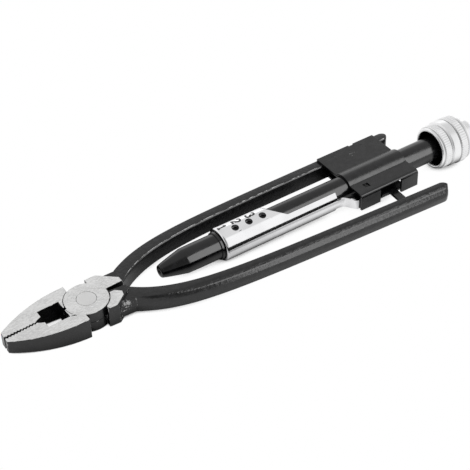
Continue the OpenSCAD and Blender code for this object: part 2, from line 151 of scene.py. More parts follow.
def round_corners(points: Array, reach: Array | float, steps: int = 6,
                  closed: bool = True) -> Array:
    """Rounds the corners of one polyline or of a stack of them.

    A corner P becomes (1-t)^2 A + 2t(1-t) P + t^2 B, where A and B lie back along its two sides
    by the reach, and at most by ROUND_SHARE of a side.

    Args:
        points: Corners, of shape (..., n, d).
        reach: How far each rounding goes along the sides, one value or one for each corner.
        steps: Points that each corner becomes.
        closed: Whether the last corner joins the first one.

    Returns:
        The rounded lines, of shape (..., n * steps, d), or without the doubled ends if open.
    """
    to_last = np.roll(points, 1, axis=-2) - points
    to_next = np.roll(points, -1, axis=-2) - points
    last_l, next_l = (np.maximum(np.linalg.norm(way, axis=-1), 1e-9) for way in (to_last, to_next))
    most = ROUND_SHARE * np.minimum(last_l, next_l)
    reach = np.minimum(np.broadcast_to(reach, last_l.shape), most)
    if not closed:
        inner = np.ones(points.shape[-2])
        inner[[0, -1]] = 0
        reach = reach * inner
    start = points + to_last * (reach / last_l)[..., None]
    stop = points + to_next * (reach / next_l)[..., None]
    t = np.linspace(0, 1, steps)[:, None]
    a, p, b = (corner[..., None, :] for corner in (start, points, stop))
    curve = (1 - t) ** 2 * a + 2 * t * (1 - t) * p + t**2 * b
    line = curve.reshape(*points.shape[:-2], -1, points.shape[-1])
    return line if closed else line[..., steps - 1:line.shape[-2] - steps + 1, :]


def grid_quads(rows: int, cols: int, close_rows: bool = False, close_cols: bool = False) -> Array:
    """Corner indices of the quads of a grid, whose normals are columns crossed with rows.

    Args:
        rows: Number of grid rows.
        cols: Number of grid columns.
        close_rows: Whether the last row joins the first one.
        close_cols: Whether the last column joins the first one.

    Returns:
        Indices of shape (quads, 4).
    """
    index = np.arange(rows * cols).reshape(rows, cols)
    if close_rows:
        index = np.vstack([index, index[:1]])
    if close_cols:
        index = np.hstack([index, index[:, :1]])
    quads = np.stack([index[:-1, :-1], index[:-1, 1:], index[1:, 1:], index[1:, :-1]], axis=-1)
    return quads.reshape(-1, 4)


def read_vectors(rows: bpy.types.bpy_prop_collection, name: str) -> Array:
    """A vector property of mesh elements, of shape (elements, 3).

    Args:
        rows: The mesh's vertices or faces.
        name: Name of the property.

    Returns:
        Values, one row for each element.
    """
    flat = np.zeros(len(rows) * 3, np.float32)
    rows.foreach_get(name, flat)
    return flat.reshape(-1, 3)


def write_mask(mesh: bpy.types.Mesh, mask: Mask, domain: str, values: Array) -> None:
    """Writes a mask on the points or the faces of a mesh."""
    rows = mesh.attributes.new(mask.value, "FLOAT", domain)
    rows.data.foreach_set("value", values.astype(np.float32))


def assign(target: bpy.types.bpy_struct, values: dict[str, object]) -> None:
    """Sets properties by their names."""
    for name, value in values.items():
        setattr(target, name, value)


def put(name: str, data: bpy.types.ID) -> Thing:
    """A new object of the data, linked to the scene at the origin.

    Args:
        name: Name of the object.
        data: Its mesh, lamp or camera.

    Returns:
        The object.
    """
    thing = bpy.data.objects.new(name, data)
    bpy.context.scene.collection.objects.link(thing)
    return thing


def finish_mesh(name: str, mesh: bpy.types.Mesh, sharp_deg: float) -> Thing:
    """Shades a mesh smooth between its sharp edges and puts it in the scene.

    Args:
        name: Name of the object.
        mesh: Its mesh.
        sharp_deg: Angle above which an edge stays sharp.

    Returns:
        The object.
    """
    mesh.shade_smooth()
    mesh.set_sharp_from_angle(angle=math.radians(sharp_deg))
    return put(name, mesh)


def modify(thing: Thing, name: str, kind: str, **values: object) -> None:
    """Adds a modifier with its properties set."""
    assign(thing.modifiers.new(name, kind), values)


def bevel(thing: Thing, width: float, segments: int) -> None:
    """Rounds the edges sharper than EDGE_DEG over a width in millimetres."""
    modify(thing, "edges", "BEVEL", width=width * MM, segments=segments, limit_method="ANGLE",
           angle_limit=math.radians(EDGE_DEG))


def keep_flat(thing: Thing) -> None:
    """Lets large flat faces keep flat normals beside their rounded edges."""
    modify(thing, "flat faces", "WEIGHTED_NORMAL", keep_sharp=True, weight=100)


def thicken(thing: Thing, wall: float) -> None:
    """Gives a sheet its wall in millimetres, inwards from its faces."""
    modify(thing, "wall", "SOLIDIFY", thickness=wall * MM, offset=-1, use_even_offset=True,
           use_quality_normals=True)


@dataclass(frozen=True)
class Axis:
    """Line along +X that the twist unit is turned about."""

    y: float
    z: float

    @classmethod
    def of_tube(cls) -> "Axis":
        """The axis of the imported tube."""
        low, high = box_mm("twist_tube")
        return cls((low[1] + high[1]) / 2, (low[2] + high[2]) / 2)

    def around(self, x: Array, radius: Array | float, angle: Array) -> Array:
        """Points at a radius and at an angle from +Z towards -Y: (x, y0 - r sin a, z0 + r cos a).

        Args:
            x: Places along the axis.
            radius: Distances from the axis.
            angle: Angles in radians.

        Returns:
            Points whose shape is that of the broadcast inputs, with three coordinates added.
        """
        return join(x, self.y - radius * np.sin(angle), self.z + radius * np.cos(angle))

    def turned(self, profile: Array, columns: int) -> Array:
        """Grid of a profile of (x, radius) rows turned about the axis, one turn in columns."""
        return self.around(profile[:, :1], profile[:, 1:], -turn_angles(columns)[None, :])


class Piece:
    """A mesh piece in the frame, made of arrays."""

    def __init__(self, name: str) -> None:
        """Starts an empty piece of that name.

        Args:
            name: Name of the mesh and of its object.
        """
        self.name = name
        self.points: list[Array] = []
        self.quads: list[Array] = []
        self.marks: list[Array] = []
        self.count = 0

    def add(self, points: Array, quads: Array, mark: Array | float = 0.0) -> "Piece":
        """Adds points in millimetres and the faces between them.

        Args:
            points: Points of any shape that ends in three coordinates.
            quads: Corner indices into the flattened points.
            mark: Edge wear of each point on a black finish, and painted shade on a bright one, from
                0 to 1.

        Returns:
            The piece itself.
        """
        flat = points.reshape(-1, 3)
        self.points.append(flat)
        self.quads.append(quads + self.count)
        self.marks.append(np.broadcast_to(mark, points.shape[:-1]).ravel())
        self.count += len(flat)
        return self

    def add_grid(self, points: Array, mark: Array | float = 0.0, **closed: bool) -> "Piece":
        """Adds a grid of points, closed as grid_quads is told."""
        return self.add(points, grid_quads(*points.shape[:2], **closed), mark)

    def add_sheet(self, outside: Array, inside: Array, quads: Array) -> "Piece":
        """Adds a sheet with its two sides and the walls along its open edges.

        Args:
            outside: Points of the outer side, of shape (points, 3); those in one place become one.
            inside: The point behind each of them.
            quads: Corner indices of the outer side's faces.

        Returns:
            The piece itself.
        """
        _, first, place = np.unique(
            np.round(outside, 3), axis=0, return_index=True, return_inverse=True)
        quads = place.ravel()[quads]
        sides = np.stack([quads, np.roll(quads, -1, axis=1)], axis=-1).reshape(-1, 2)
        sides = sides[sides[:, 0] != sides[:, 1]]
        _, where, uses = np.unique(
            np.sort(sides, axis=1), axis=0, return_index=True, return_counts=True)
        start, stop = sides[where[uses == 1]].T
        count = len(first)
        walls = np.stack([stop, start, start + count, stop + count], axis=-1)
        return self.add(np.concatenate([outside[first], inside[first]]),
                        np.concatenate([quads, quads[:, ::-1] + count, walls]))

    def turned(self, axis: Axis, profile: Array, columns: int = 128, loop: bool = False) -> "Piece":
        """Adds a profile turned about an axis, closed to a ring if it is a loop."""
        return self.add_grid(axis.turned(profile, columns), close_rows=loop, close_cols=True)

    def build(self, sharp_deg: float = 30) -> Thing:
        """Puts the arrays into a mesh object at the origin, with doubles merged.

        Args:
            sharp_deg: Angle above which an edge stays sharp.

        Returns:
            The object, linked to the scene.
        """
        mesh = bpy.data.meshes.new(self.name)
        places = np.vstack(self.points) * MM
        mesh.from_pydata(places.tolist(), [], np.vstack(self.quads).tolist())
        write_mask(mesh, Mask.MARK, "POINT", np.concatenate(self.marks))
        work = bmesh.new()
        work.from_mesh(mesh)
        bmesh.ops.remove_doubles(work, verts=work.verts, dist=WELD)
        bmesh.ops.dissolve_degenerate(work, dist=WELD, edges=work.edges)
        work.to_mesh(mesh)
        work.free()
        return finish_mesh(self.name, mesh, sharp_deg)


# Shader tools

WORN = (0.78, 0.95)  # edge values over which black gives way to steel
SCUFF_END = (1.9, 2.3)  # distances over which a scuff ends, in its sizes
FRAY, FRAY_SCALE = 3.0, 1300.0  # how far and how finely noise frays a scuff
CLOUD_SHARE, CLOUD_SCALE = 0.4, 140.0  # patches among the tool strokes


class Graph:
    """Adds and links the nodes of one shader tree."""

    def __init__(self, tree: bpy.types.NodeTree) -> None:
        """Works on a tree."""
        self.tree = tree

    def node(self, kind: str, **values: object) -> Node:
        """A new node with its properties set.

        Args:
            kind: Type of the node.
            **values: Properties and their values.

        Returns:
            The node.
        """
        made = self.tree.nodes.new(kind)
        assign(made, values)
        return made

    def give(self, socket: Socket, value: object) -> None:
        """Links or sets one input, where a tuple is a colour.

        Args:
            socket: The input.
            value: A socket to link, or a value.
        """
        if isinstance(value, Socket):
            self.tree.links.new(value, socket)
        else:
            socket.default_value = (*value, 1) if isinstance(value, tuple) else value

    def feed(self, node: Node, **inputs: object) -> Node:
        """Links or sets inputs of a node, where a name's underscores stand for spaces.

        Args:
            node: The node.
            **inputs: Input names with sockets or values.

        Returns:
            The node itself.
        """
        for name, value in inputs.items():
            self.give(node.inputs[name.replace("_", " ")], value)
        return node

    def math(self, operation: str, first: object, second: object, kind: str = "Math") -> Socket:
        """Number that a math node, or a vector math node, makes of two values or sockets.

        Args:
            operation: What the node does.
            first: First value or socket.
            second: Second value or socket.
            kind: Math or VectorMath.

        Returns:
            The number.
        """
        made = self.node(f"ShaderNode{kind}", operation=operation)
        self.give(made.inputs[0], first)
        self.give(made.inputs[1], second)
        return made.outputs["Value"]

    def between(self, share: object, low: object, high: object) -> Socket:
        """Two numbers mixed by a share: high s + low (1 - s).

        Args:
            share: Share of the high number.
            low: Number at a share of 0.
            high: Number at a share of 1.

        Returns:
            The mixed number.
        """
        rest = self.math("SUBTRACT", 1.0, share)
        upper = self.math("MULTIPLY", high, share)
        return self.math("ADD", upper, self.math("MULTIPLY", low, rest))

    def ramp(self, value: object, low: float, high: float, to_low: float = 0.0,
             to_high: float = 1.0) -> Socket:
        """A value carried smoothly from one range to another, and held at its ends.

        Args:
            value: The value.
            low: Start of its range.
            high: End of its range.
            to_low: What the start becomes.
            to_high: What the end becomes.

        Returns:
            The carried value.
        """
        made = self.node("ShaderNodeMapRange", interpolation_type="SMOOTHSTEP")
        self.feed(made, Value=value, From_Min=low, From_Max=high, To_Min=to_low, To_Max=to_high)
        return made.outputs["Result"]

    def blend(self, share: object, first: object, second: object) -> Socket:
        """Two colours mixed by a share.

        Args:
            share: Share of the second colour.
            first: Colour at a share of 0.
            second: Colour at a share of 1.

        Returns:
            The mixed colour.
        """
        made = self.node("ShaderNodeMix", data_type="RGBA")
        for index, value in ((0, share), (6, first), (7, second)):
            self.give(made.inputs[index], value)
        return made.outputs[2]

    def place(self) -> Socket:
        """Place on the object, in its own frame."""
        return self.node("ShaderNodeTexCoord").outputs["Object"]

    def vector(self, x: object = 0.0, y: object = 0.0, z: object = 0.0) -> Socket:
        """A vector of three values or sockets."""
        return self.feed(self.node("ShaderNodeCombineXYZ"), X=x, Y=y, Z=z).outputs[0]

    def noise(self, place: Socket, scale: object, detail: float) -> Socket:
        """Height of a noise at a place."""
        made = self.node("ShaderNodeTexNoise")
        return self.feed(made, Vector=place, Scale=scale, Detail=detail).outputs[0]

    def bump(self, height: object, depth: float) -> Socket:
        """A normal from a height whose full range is a depth in millimetres."""
        made = self.node("ShaderNodeBump")
        return self.feed(made, Height=height, Distance=depth * MM, Strength=1.0).outputs[0]

    def attribute(self, mask: Mask) -> Socket:
        """Value of a mesh attribute."""
        return self.node("ShaderNodeAttribute", attribute_name=mask.value).outputs["Fac"]

    def rays(self) -> tuple[Socket, Socket]:
        """1 for rays from the camera, and 1 for those by way of glossy or clear surfaces.

        Returns:
            The camera's socket and the mirrors' one.
        """
        path = self.node("ShaderNodeLightPath").outputs
        mirrored = self.math("MAXIMUM", path["Is Glossy Ray"], path["Is Transmission Ray"])
        return path["Is Camera Ray"], mirrored

    def group(self, tree: bpy.types.NodeTree, **inputs: object) -> bpy.types.NodeOutputs:
        """Outputs of a placed node group with its inputs given."""
        return self.feed(self.node("ShaderNodeGroup", node_tree=tree), **inputs).outputs


def shader_group(name: str, inputs: dict[str, float],
                 outputs: tuple[str, ...]) -> tuple[Graph, bpy.types.NodeOutputs, Node]:
    """A new shader node group with float sockets.

    Args:
        name: Name of the group.
        inputs: Input names and their defaults.
        outputs: Output names.

    Returns:
        The graph of the group, what it is given and its output node.
    """
    tree = bpy.data.node_groups.new(name, "ShaderNodeTree")
    number = "NodeSocketFloat"
    for socket, value in inputs.items():
        made = tree.interface.new_socket(socket, in_out="INPUT", socket_type=number)
        made.default_value = value
    for socket in outputs:
        tree.interface.new_socket(socket, in_out="OUTPUT", socket_type=number)
    graph = Graph(tree)
    return graph, graph.node("NodeGroupInput").outputs, graph.node("NodeGroupOutput")


def grain_group() -> bpy.types.NodeTree:
    """Fine random grain: a height for bumps and a tone that varies over the surface.

    Returns:
        The node group.
    """
    inputs = {"Fine": 900.0, "Coarse": 60.0}
    graph, given, made = shader_group("surface grain", inputs, ("Height", "Tone"))
    place = graph.place()
    graph.feed(made, Height=graph.noise(place, given["Fine"], detail=4.0),
               Tone=graph.noise(place, given["Coarse"], detail=5.0))
    return graph.tree


def wear_group() -> bpy.types.NodeTree:
    """Bare spots along worn edges: the edge attribute broken up by noise.

    Returns:
        The node group.
    """
    inputs = {"Edge": 0.0, "Amount": 0.5, "Scale": 300.0}
    graph, given, made = shader_group("edge wear", inputs, ("Bare",))
    noise = graph.noise(graph.place(), given["Scale"], detail=6.0)
    spots = graph.math("ADD", noise, given["Amount"])
    worn = graph.math("MULTIPLY", spots, given["Edge"])
    graph.feed(made, Bare=graph.ramp(worn, *WORN))
    return graph.tree


def scuff_group() -> bpy.types.NodeTree:
    """A scuffed spot: a ball round a place, frayed by noise.

    Returns:
        The node group.
    """
    inputs = {"X": 0.0, "Y": 0.0, "Z": 0.0, "Size": 0.002}
    graph, given, made = shader_group("scuffed spot", inputs, ("Bare",))
    place = graph.place()
    middle = graph.vector(given["X"], given["Y"], given["Z"])
    apart = graph.math("DISTANCE", place, middle, "VectorMath")
    away = graph.math("DIVIDE", apart, given["Size"])
    fray = graph.math("MULTIPLY", graph.noise(place, FRAY_SCALE, detail=3.0), FRAY)
    graph.feed(made, Bare=graph.ramp(graph.math("ADD", away, fray), *SCUFF_END, 1.0, 0.0))
    return graph.tree


def stroke_group() -> bpy.types.NodeTree:
    """Long fine strokes of grinding or turning: noise stretched along one direction.

    Returns:
        The node group.
    """
    inputs = {"Along": 20.0, "Across": 1500.0, "Turn": 0.0}
    graph, given, made = shader_group("tool strokes", inputs, ("Height", "Tone"))
    place = graph.place()
    size = graph.vector(given["Along"], given["Across"], given["Across"])
    laid = graph.feed(graph.node("ShaderNodeMapping"), Vector=place, Scale=size,
                      Rotation=graph.vector(z=given["Turn"]))
    lines = graph.noise(laid.outputs[0], 1.0, detail=3.0)
    tone = graph.between(CLOUD_SHARE, lines, graph.noise(place, CLOUD_SCALE, detail=4.0))
    graph.feed(made, Height=lines, Tone=tone)
    return graph.tree


GRAIN = grain_group()
WEAR = wear_group()
SCUFF = scuff_group()
STROKES = stroke_group()


# Finishes

def dimmed(colour: Colour, share: float) -> Colour:
    """A share of a colour."""
    return tuple(share * part for part in colour)


@dataclass(frozen=True)
class Finish:
    """A surface finish that makes its own material."""

    slot: Slot
    colour: Colour
    roughness: float

    def material(self) -> bpy.types.Material:
        """The material of this finish, made once.

        Returns:
            The material.
        """
        name = f"finish_{self.slot.value}"
        made = bpy.data.materials.get(name)
        if made is None:
            made = bpy.data.materials.new(name)
            made.use_nodes = True
            self.shade(Graph(made.node_tree), made.node_tree.nodes["Principled BSDF"])
        return made

    def shade(self, graph: Graph, shader: Node) -> None:
        """Sets and links the shader's inputs."""
        raise NotImplementedError

    def dress(self, thing: Thing) -> None:
        """Puts the material on an object in place of any other."""
        thing.data.materials.clear()
        thing.data.materials.append(self.material())

    def dress_node(self, node: str) -> None:
        """Puts the material on a CAD node that stays.

        Args:
            node: Name of the node.
        """
        for place in frame["nodes"][node].material_slots:
            place.link = "OBJECT"
            place.material = self.material()


@dataclass(frozen=True)
class Enamel(Finish):
    """Black paint or oxide on metal, bare along worn edges, on scuffs and on ground faces."""

    grain_mm: float
    wear: float
    fine: float
    scuffs: tuple[tuple[float, float, float, float], ...] = ()
    scuffed: float = 0.5
    mottle: float = 450.0
    dark: float = 0.35
    steel: Colour = (0.85, 0.85, 0.845)
    dull: float = 0.84
    sanded: tuple[float, float] = (0.27, 0.38)
    satin: tuple[float, float] = (-0.04, 0.05)
    black_tone: tuple[float, float] = (0.36, 0.64)
    steel_tone: tuple[float, float] = (0.38, 0.6)
    satin_tone: tuple[float, float] = (0.3, 0.7)
    sanded_tone: tuple[float, float] = (0.35, 0.65)
    ground_fray: float = 0.5
    ground_end: tuple[float, float] = (0.18, 0.3)

    def shade(self, graph: Graph, shader: Node) -> None:
        """Mixes black with bare steel by the ground, edge and scuff masks.

        Args:
            graph: Graph of the material.
            shader: Its Principled node.
        """
        grain = graph.group(GRAIN, Fine=self.fine, Coarse=self.mottle)
        strokes = graph.group(STROKES, Along=700.0, Across=1500.0, Turn=0.9)
        edge = graph.attribute(Mask.MARK)
        worn = graph.group(WEAR, Edge=edge, Amount=self.wear, Scale=420.0)["Bare"]
        frayed = graph.math("MULTIPLY", grain["Tone"], self.ground_fray)
        ground = graph.math("SUBTRACT", graph.attribute(Mask.GROUND), frayed)
        bare = graph.math("MAXIMUM", graph.ramp(ground, *self.ground_end), worn)
        for x, y, z, size in self.scuffs:
            spot = graph.group(SCUFF, X=x * MM, Y=y * MM, Z=z * MM, Size=size * MM)["Bare"]
            bare = graph.math("MAXIMUM", bare, graph.math("MULTIPLY", spot, self.scuffed))
        black = graph.blend(graph.ramp(grain["Tone"], *self.black_tone),
                            dimmed(self.colour, self.dark), self.colour)
        steel = graph.blend(graph.ramp(strokes["Tone"], *self.steel_tone),
                            dimmed(self.steel, self.dull), self.steel)
        satin = graph.ramp(grain["Tone"], *self.satin_tone, *np.add(self.roughness, self.satin))
        sanded = graph.ramp(strokes["Tone"], *self.sanded_tone, *self.sanded)
        height = graph.math(
            "ADD", grain["Height"], graph.math("MULTIPLY", strokes["Height"], bare))
        graph.feed(shader, Base_Color=graph.blend(bare, black, steel), Metallic=bare,
                   Roughness=graph.between(bare, satin, sanded),
                   Normal=graph.bump(height, self.grain_mm))


@dataclass(frozen=True)
class Plate(Finish):
    """Bright plated or turned metal with faint smears and tool strokes, and painted shade where it
    is marked.
    """

    stroke_mm: float = 0.0
    across: float = 1200.0
    along: float = 20.0
    smear: float = 0.03
    dull: float = 0.93
    tone: tuple[float, float] = (0.35, 0.65)
    smear_tone: tuple[float, float] = (0.3, 0.7)
    # near black that is painted in as shade where the mesh is marked
    shade_paint: Colour = (0.012, 0.012, 0.013)

    def shade(self, graph: Graph, shader: Node) -> None:
        """Varies a bright metal a little in tone and gloss, and darkens it to near black with
        painted shade by its mark.

        Args:
            graph: Graph of the material.
            shader: Its Principled node.
        """
        grain = graph.group(GRAIN, Fine=700.0, Coarse=90.0)
        strokes = graph.group(STROKES, Along=self.along, Across=self.across, Turn=0.0)
        bright = graph.blend(
            graph.ramp(grain["Tone"], *self.tone), dimmed(self.colour, self.dull), self.colour)
        rough = graph.ramp(strokes["Tone"], *self.smear_tone, self.roughness,
                           self.roughness + self.smear)
        # Painted shade: marked points blend to the near-black shade colour.
        colour = graph.blend(graph.attribute(Mask.MARK), bright, self.shade_paint)
        graph.feed(shader, Base_Color=colour, Metallic=1.0, Roughness=rough)
        if self.stroke_mm > 0:
            graph.feed(shader, Normal=graph.bump(strokes["Height"], self.stroke_mm))


FORGED = Enamel(Slot.FORGED, (0.008, 0.008, 0.0085), 0.2, grain_mm=0.1, wear=0.3, fine=800.0,
                scuffs=((13.3, -10.9, 8.0, 2.6), (41.9, -23.6, 8.8, 2.8)))
SHEET = Enamel(Slot.SHEET, (0.006, 0.006, 0.0065), 0.22, grain_mm=0.006, wear=0.15, fine=1300.0,
               scuffs=((148.7, 15.3, 12.5, 2.6),), scuffed=0.2)
GLOSS = Enamel(Slot.GLOSS, (0.003, 0.003, 0.0035), 0.14, grain_mm=0.001, wear=0.0, fine=500.0)
SATIN = Enamel(Slot.SATIN, (0.004, 0.004, 0.0045), 0.18, grain_mm=0.003, wear=0.0, fine=900.0)
CHROME = Plate(Slot.CHROME, (0.93, 0.93, 0.94), 0.09)
KNOB = Plate(Slot.KNOB, (0.93, 0.93, 0.935), 0.25, stroke_mm=0.003, across=60.0, along=3000.0,
             smear=0.08)
STEEL = Plate(Slot.STEEL, (0.81, 0.81, 0.805), 0.3, stroke_mm=0.003, across=1500.0, along=700.0,
              smear=0.08)
BRASS = Plate(Slot.BRASS, (0.78, 0.60, 0.28), 0.25, smear=0.08)


def settle(thing: Thing, finish: Finish, body: Body, *nodes: str) -> Thing:
    """Dresses a piece, lets it ride on its body and stand for its CAD nodes.

    Args:
        thing: The piece.
        finish: Its finish.
        body: The body that it moves with.
        *nodes: CAD nodes that it stands for.

    Returns:
        The piece.
    """
    finish.dress(thing)
    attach(thing, body.value)
    if nodes:
        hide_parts(*nodes)
    LOG.info("%s: %d faces on %s", thing.name, len(thing.data.polygons), body.value)
    return thing


# Forged halves

@dataclass(frozen=True)
class ForgedHalf:
    """One forged half: the ground head with its jaw, and the bent handle bar."""

    node: str
    body: Body
    flipped: bool
    width: float = 5.8
    length: float = 171.8
    gap: float = 16.0
    bend: float = 17.5
    root_x: float = 18.0
    root_y: float = 1.0
    root_w: float = 9.2
    draft: float = 0.9
    chamfer: float = 0.6
    low_chamfer: float = 0.35
    outer: Pairs = (
        (-1.0, 3.0), (-0.75, 1.3), (-0.34, 0.3), (0.1, 0.0), (0.5, 0.25), (1.0, 0.8))
    reach: tuple[float, ...] = (0.2, 0.2, 0.7, 0.4, 0.5, 0.6, 0.8, 0.4, 0.3, 0.3)
    worn: tuple[float, ...] = (0.2, 0.2, 0, 0, 0, 0, 0, 0.6, 1.15, 0.2)
    rubbed: float = 1.0
    rows: int = 150
    row_power: float = 1.5
    end_rows: int = 15
    end_deg: tuple[float, float] = (6, 90)
    corner_steps: int = 6
    root_round: float = 0.02
    bar_sharp_deg: float = 40.0
    head_sharp_deg: float = 35.0
    round_l: float = 5.0
    grow_l: float = 25.0
    rest_deg: float = 2.9
    cut_x: float = 18.3
    edge_round: float = 0.12
    edge_deg: float = 22.0
    disc_r: float = 9.6
    disc_high: float = 4.5
    jaw_high: float = 2.9
    web_r: float = 10.2
    lip: float = 0.25
    step_w: float = 0.5
    step_high: float = 4.6
    level: float = 0.97
    lug_x: float = 4.8
    lug: Pairs = ((0, -FAR), (FAR, -FAR), (FAR, FAR), (0, FAR))

    def place(self) -> Matrix:
        """Where the half's own frame is: turned over about X and swung open for the near half.

        Returns:
            The matrix from the half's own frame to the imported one.
        """
        if not self.flipped:
            return Matrix.Identity(4)
        up = Matrix.Translation((0, 0, MIDDLE * MM))
        swing = Matrix.Rotation(math.radians(-self.rest_deg), 4, "Z")
        return up @ swing @ Matrix.Rotation(math.pi, 4, "X") @ up.inverted()

    def sections(self, x: Array, share: Array) -> Array:
        """Corners of the bar's ten-sided sections.

        The inner and outer sides run at gap - (gap - root) e^(-(x - root_x) / bend), and the
        section narrows about its middle by the share towards the rounded end. The outer side
        goes from a plain ridge at the head to its rounder form over the first stretch.

        Args:
            x: Places along the half.
            share: Share of the full width at each place.

        Returns:
            Corners of shape (places, 10, 2), as y and z.
        """
        fade = np.exp(-(x - self.root_x) / self.bend)
        inner = self.gap - (self.gap - self.root_y) * fade
        outer = self.gap + self.width - (self.gap + self.width - self.root_y - self.root_w) * fade
        centre, half = (inner + outer) / 2, share * (outer - inner) / 2
        inside, outside = centre - half, centre + half
        grown = unit((x - self.cut_x) / self.grow_l)[:, None]
        height, rounder = np.array(self.outer).T
        plain = np.abs(height) * self.draft
        inset = share[:, None] * (plain + grown * (rounder - plain))
        side = join(outside[:, None] - inset, HANDLE_T / 2 * height)
        b, c, z = share * self.low_chamfer, share * self.chamfer, HANDLE_T / 2
        under, above = (np.stack([join(*corner) for corner in pair], axis=1) for pair in (
            [(inside, b - z), (inside + b, -z)], [(inside + c, z), (inside, z - c)]))
        return np.concatenate([under, side, above], axis=1)

    def bar(self) -> Thing:
        """The handle bar, lofted through its rounded sections and closed at both ends.

        Returns:
            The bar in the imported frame.
        """
        end_x = self.length - self.width / 2
        run = self.cut_x + (end_x - self.cut_x) * np.linspace(0, 1, self.rows) ** self.row_power
        turn = np.radians(np.linspace(*self.end_deg, self.end_rows))
        x = np.concatenate([run, end_x + self.width / 2 * np.sin(turn)])
        share = np.concatenate([np.ones_like(run), np.cos(turn)])
        grown = np.clip((x - self.cut_x) / self.round_l, self.root_round, 1)[:, None]
        reach = grown * np.array(self.reach)
        ring = round_corners(self.sections(x, share), reach, self.corner_steps)
        points = join(x[:, None], ring[..., 0], ring[..., 1] + MIDDLE)
        arc = np.sin(np.pi * np.linspace(0, 1, self.corner_steps))
        worn = self.rubbed * np.outer(self.worn, arc).ravel()
        hub = np.broadcast_to(points[0].mean(axis=0), points[0].shape)
        piece = Piece(f"{self.node}_bar").add_grid(points, worn, close_cols=True)
        piece.add_grid(np.stack([hub, points[0]]), close_cols=True)
        thing = piece.build(self.bar_sharp_deg)
        thing.data.transform(self.place())
        return thing

    def on_lip(self, place: Vector) -> bool:
        """Whether a point lies on the faint step between the disc and the jaw of the same half.

        Args:
            place: Point in the half's own frame, in metres.

        Returns:
            True on the step.
        """
        reach = math.hypot(place.x, place.y) / MM - self.web_r
        high = place.z / MM - MIDDLE > self.disc_high
        return place.x < 0 and high and abs(reach) < self.lip

    def head(self) -> Thing:
        """The head: a merged copy of the CAD half, cut off at the bar, with its edges rounded.

        Returns:
            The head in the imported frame.
        """
        name = f"{self.node}_head"
        work = bmesh.new()
        work.from_mesh(frame["nodes"][self.node].data)
        work.transform(self.place().inverted())
        bmesh.ops.remove_doubles(work, verts=work.verts, dist=WELD)
        lip = [v for v in work.verts if self.on_lip(v.co)]
        bmesh.ops.remove_doubles(work, verts=lip, dist=self.lip * MM)
        cut = bmesh.ops.bisect_plane(
            work, geom=[*work.verts, *work.edges, *work.faces], dist=WELD,
            plane_co=(self.cut_x * MM, 0, 0), plane_no=(1, 0, 0), clear_outer=True)
        rim = [e for e in cut["geom_cut"] if isinstance(e, bmesh.types.BMEdge)]
        bmesh.ops.holes_fill(work, edges=rim, sides=0)
        bmesh.ops.dissolve_limit(
            work, angle_limit=math.radians(1), verts=work.verts, edges=work.edges)
        kept, sharp_angle = self.cut_x * MM - 1e-5, math.radians(self.edge_deg)
        sharp = [e for e in work.edges
                 if len(e.link_faces) == 2 and e.calc_face_angle(0) > sharp_angle
                 and min(v.co.x for v in e.verts) < kept
                 and not all(self.on_lip(v.co) for v in e.verts)]
        made = bmesh.ops.bevel(
            work, geom=sharp, offset=self.edge_round * MM, offset_type="OFFSET", segments=2,
            profile=0.5, affect="EDGES", clamp_overlap=False)
        for start, stop in zip(self.lug, np.roll(self.lug, -1, axis=0)):
            lug = [f for f in work.faces if f.calc_center_median().x > self.lug_x * MM]
            parts = dict.fromkeys(part for f in lug for part in (*f.verts, *f.edges, f))
            bmesh.ops.bisect_plane(
                work, geom=list(parts), dist=1e-7, plane_co=(start[0] * MM, start[1] * MM, 0),
                plane_no=(start[1] - stop[1], stop[0] - start[0], 0))
        work.faces.index_update()
        rounded = [f.index for f in made["faces"] if f.is_valid]
        mesh = bpy.data.meshes.new(name)
        work.to_mesh(mesh)
        work.free()
        self.mask(mesh, rounded)
        soft = {v.index for v in mesh.vertices if self.on_lip(v.co)}
        mesh.transform(self.place())
        thing = finish_mesh(name, mesh, self.head_sharp_deg)
        for edge in mesh.edges:
            edge.use_edge_sharp = edge.use_edge_sharp and not soft.issuperset(edge.vertices)
        keep_flat(thing)
        return thing

    def mask(self, mesh: bpy.types.Mesh, rounded: list[int]) -> None:
        """Marks the ground faces and the rounded edges of the head.

        Args:
            mesh: The head in the half's own frame.
            rounded: Faces that the rounding made.
        """
        centre = read_vectors(mesh.polygons, "center") / MM
        jaw = centre[:, 0] < 0
        high = np.abs(centre[:, 2] - MIDDLE)
        level = np.abs(read_vectors(mesh.polygons, "normal")[:, 2]) > self.level
        ground = level & np.where(jaw, high > self.jaw_high, high > self.disc_high)
        step = np.abs(np.linalg.norm(centre[:, :2], axis=1) - self.disc_r) < self.step_w
        ground |= step & (high > self.step_high) & jaw
        start, stop = np.array(self.lug), np.roll(self.lug, -1, axis=0)
        way = (stop - start)[:, None]
        reach = centre[None, :, :2] - start[:, None]
        turn = way[..., 0] * reach[..., 1] - way[..., 1] * reach[..., 0]
        ground &= np.all(turn > -1e-3, axis=0) | (centre[:, 0] < self.lug_x)
        edge = np.zeros(len(centre))
        edge[rounded] = 1
        edge[ground] = 0
        write_mask(mesh, Mask.GROUND, "FACE", ground)
        write_mask(mesh, Mask.MARK, "FACE", edge)

    def build(self) -> tuple[Thing, Thing]:
        """Builds and dresses the half, and returns its head and its bar."""
        return (settle(self.head(), FORGED, self.body, self.node),
                settle(self.bar(), FORGED, self.body))


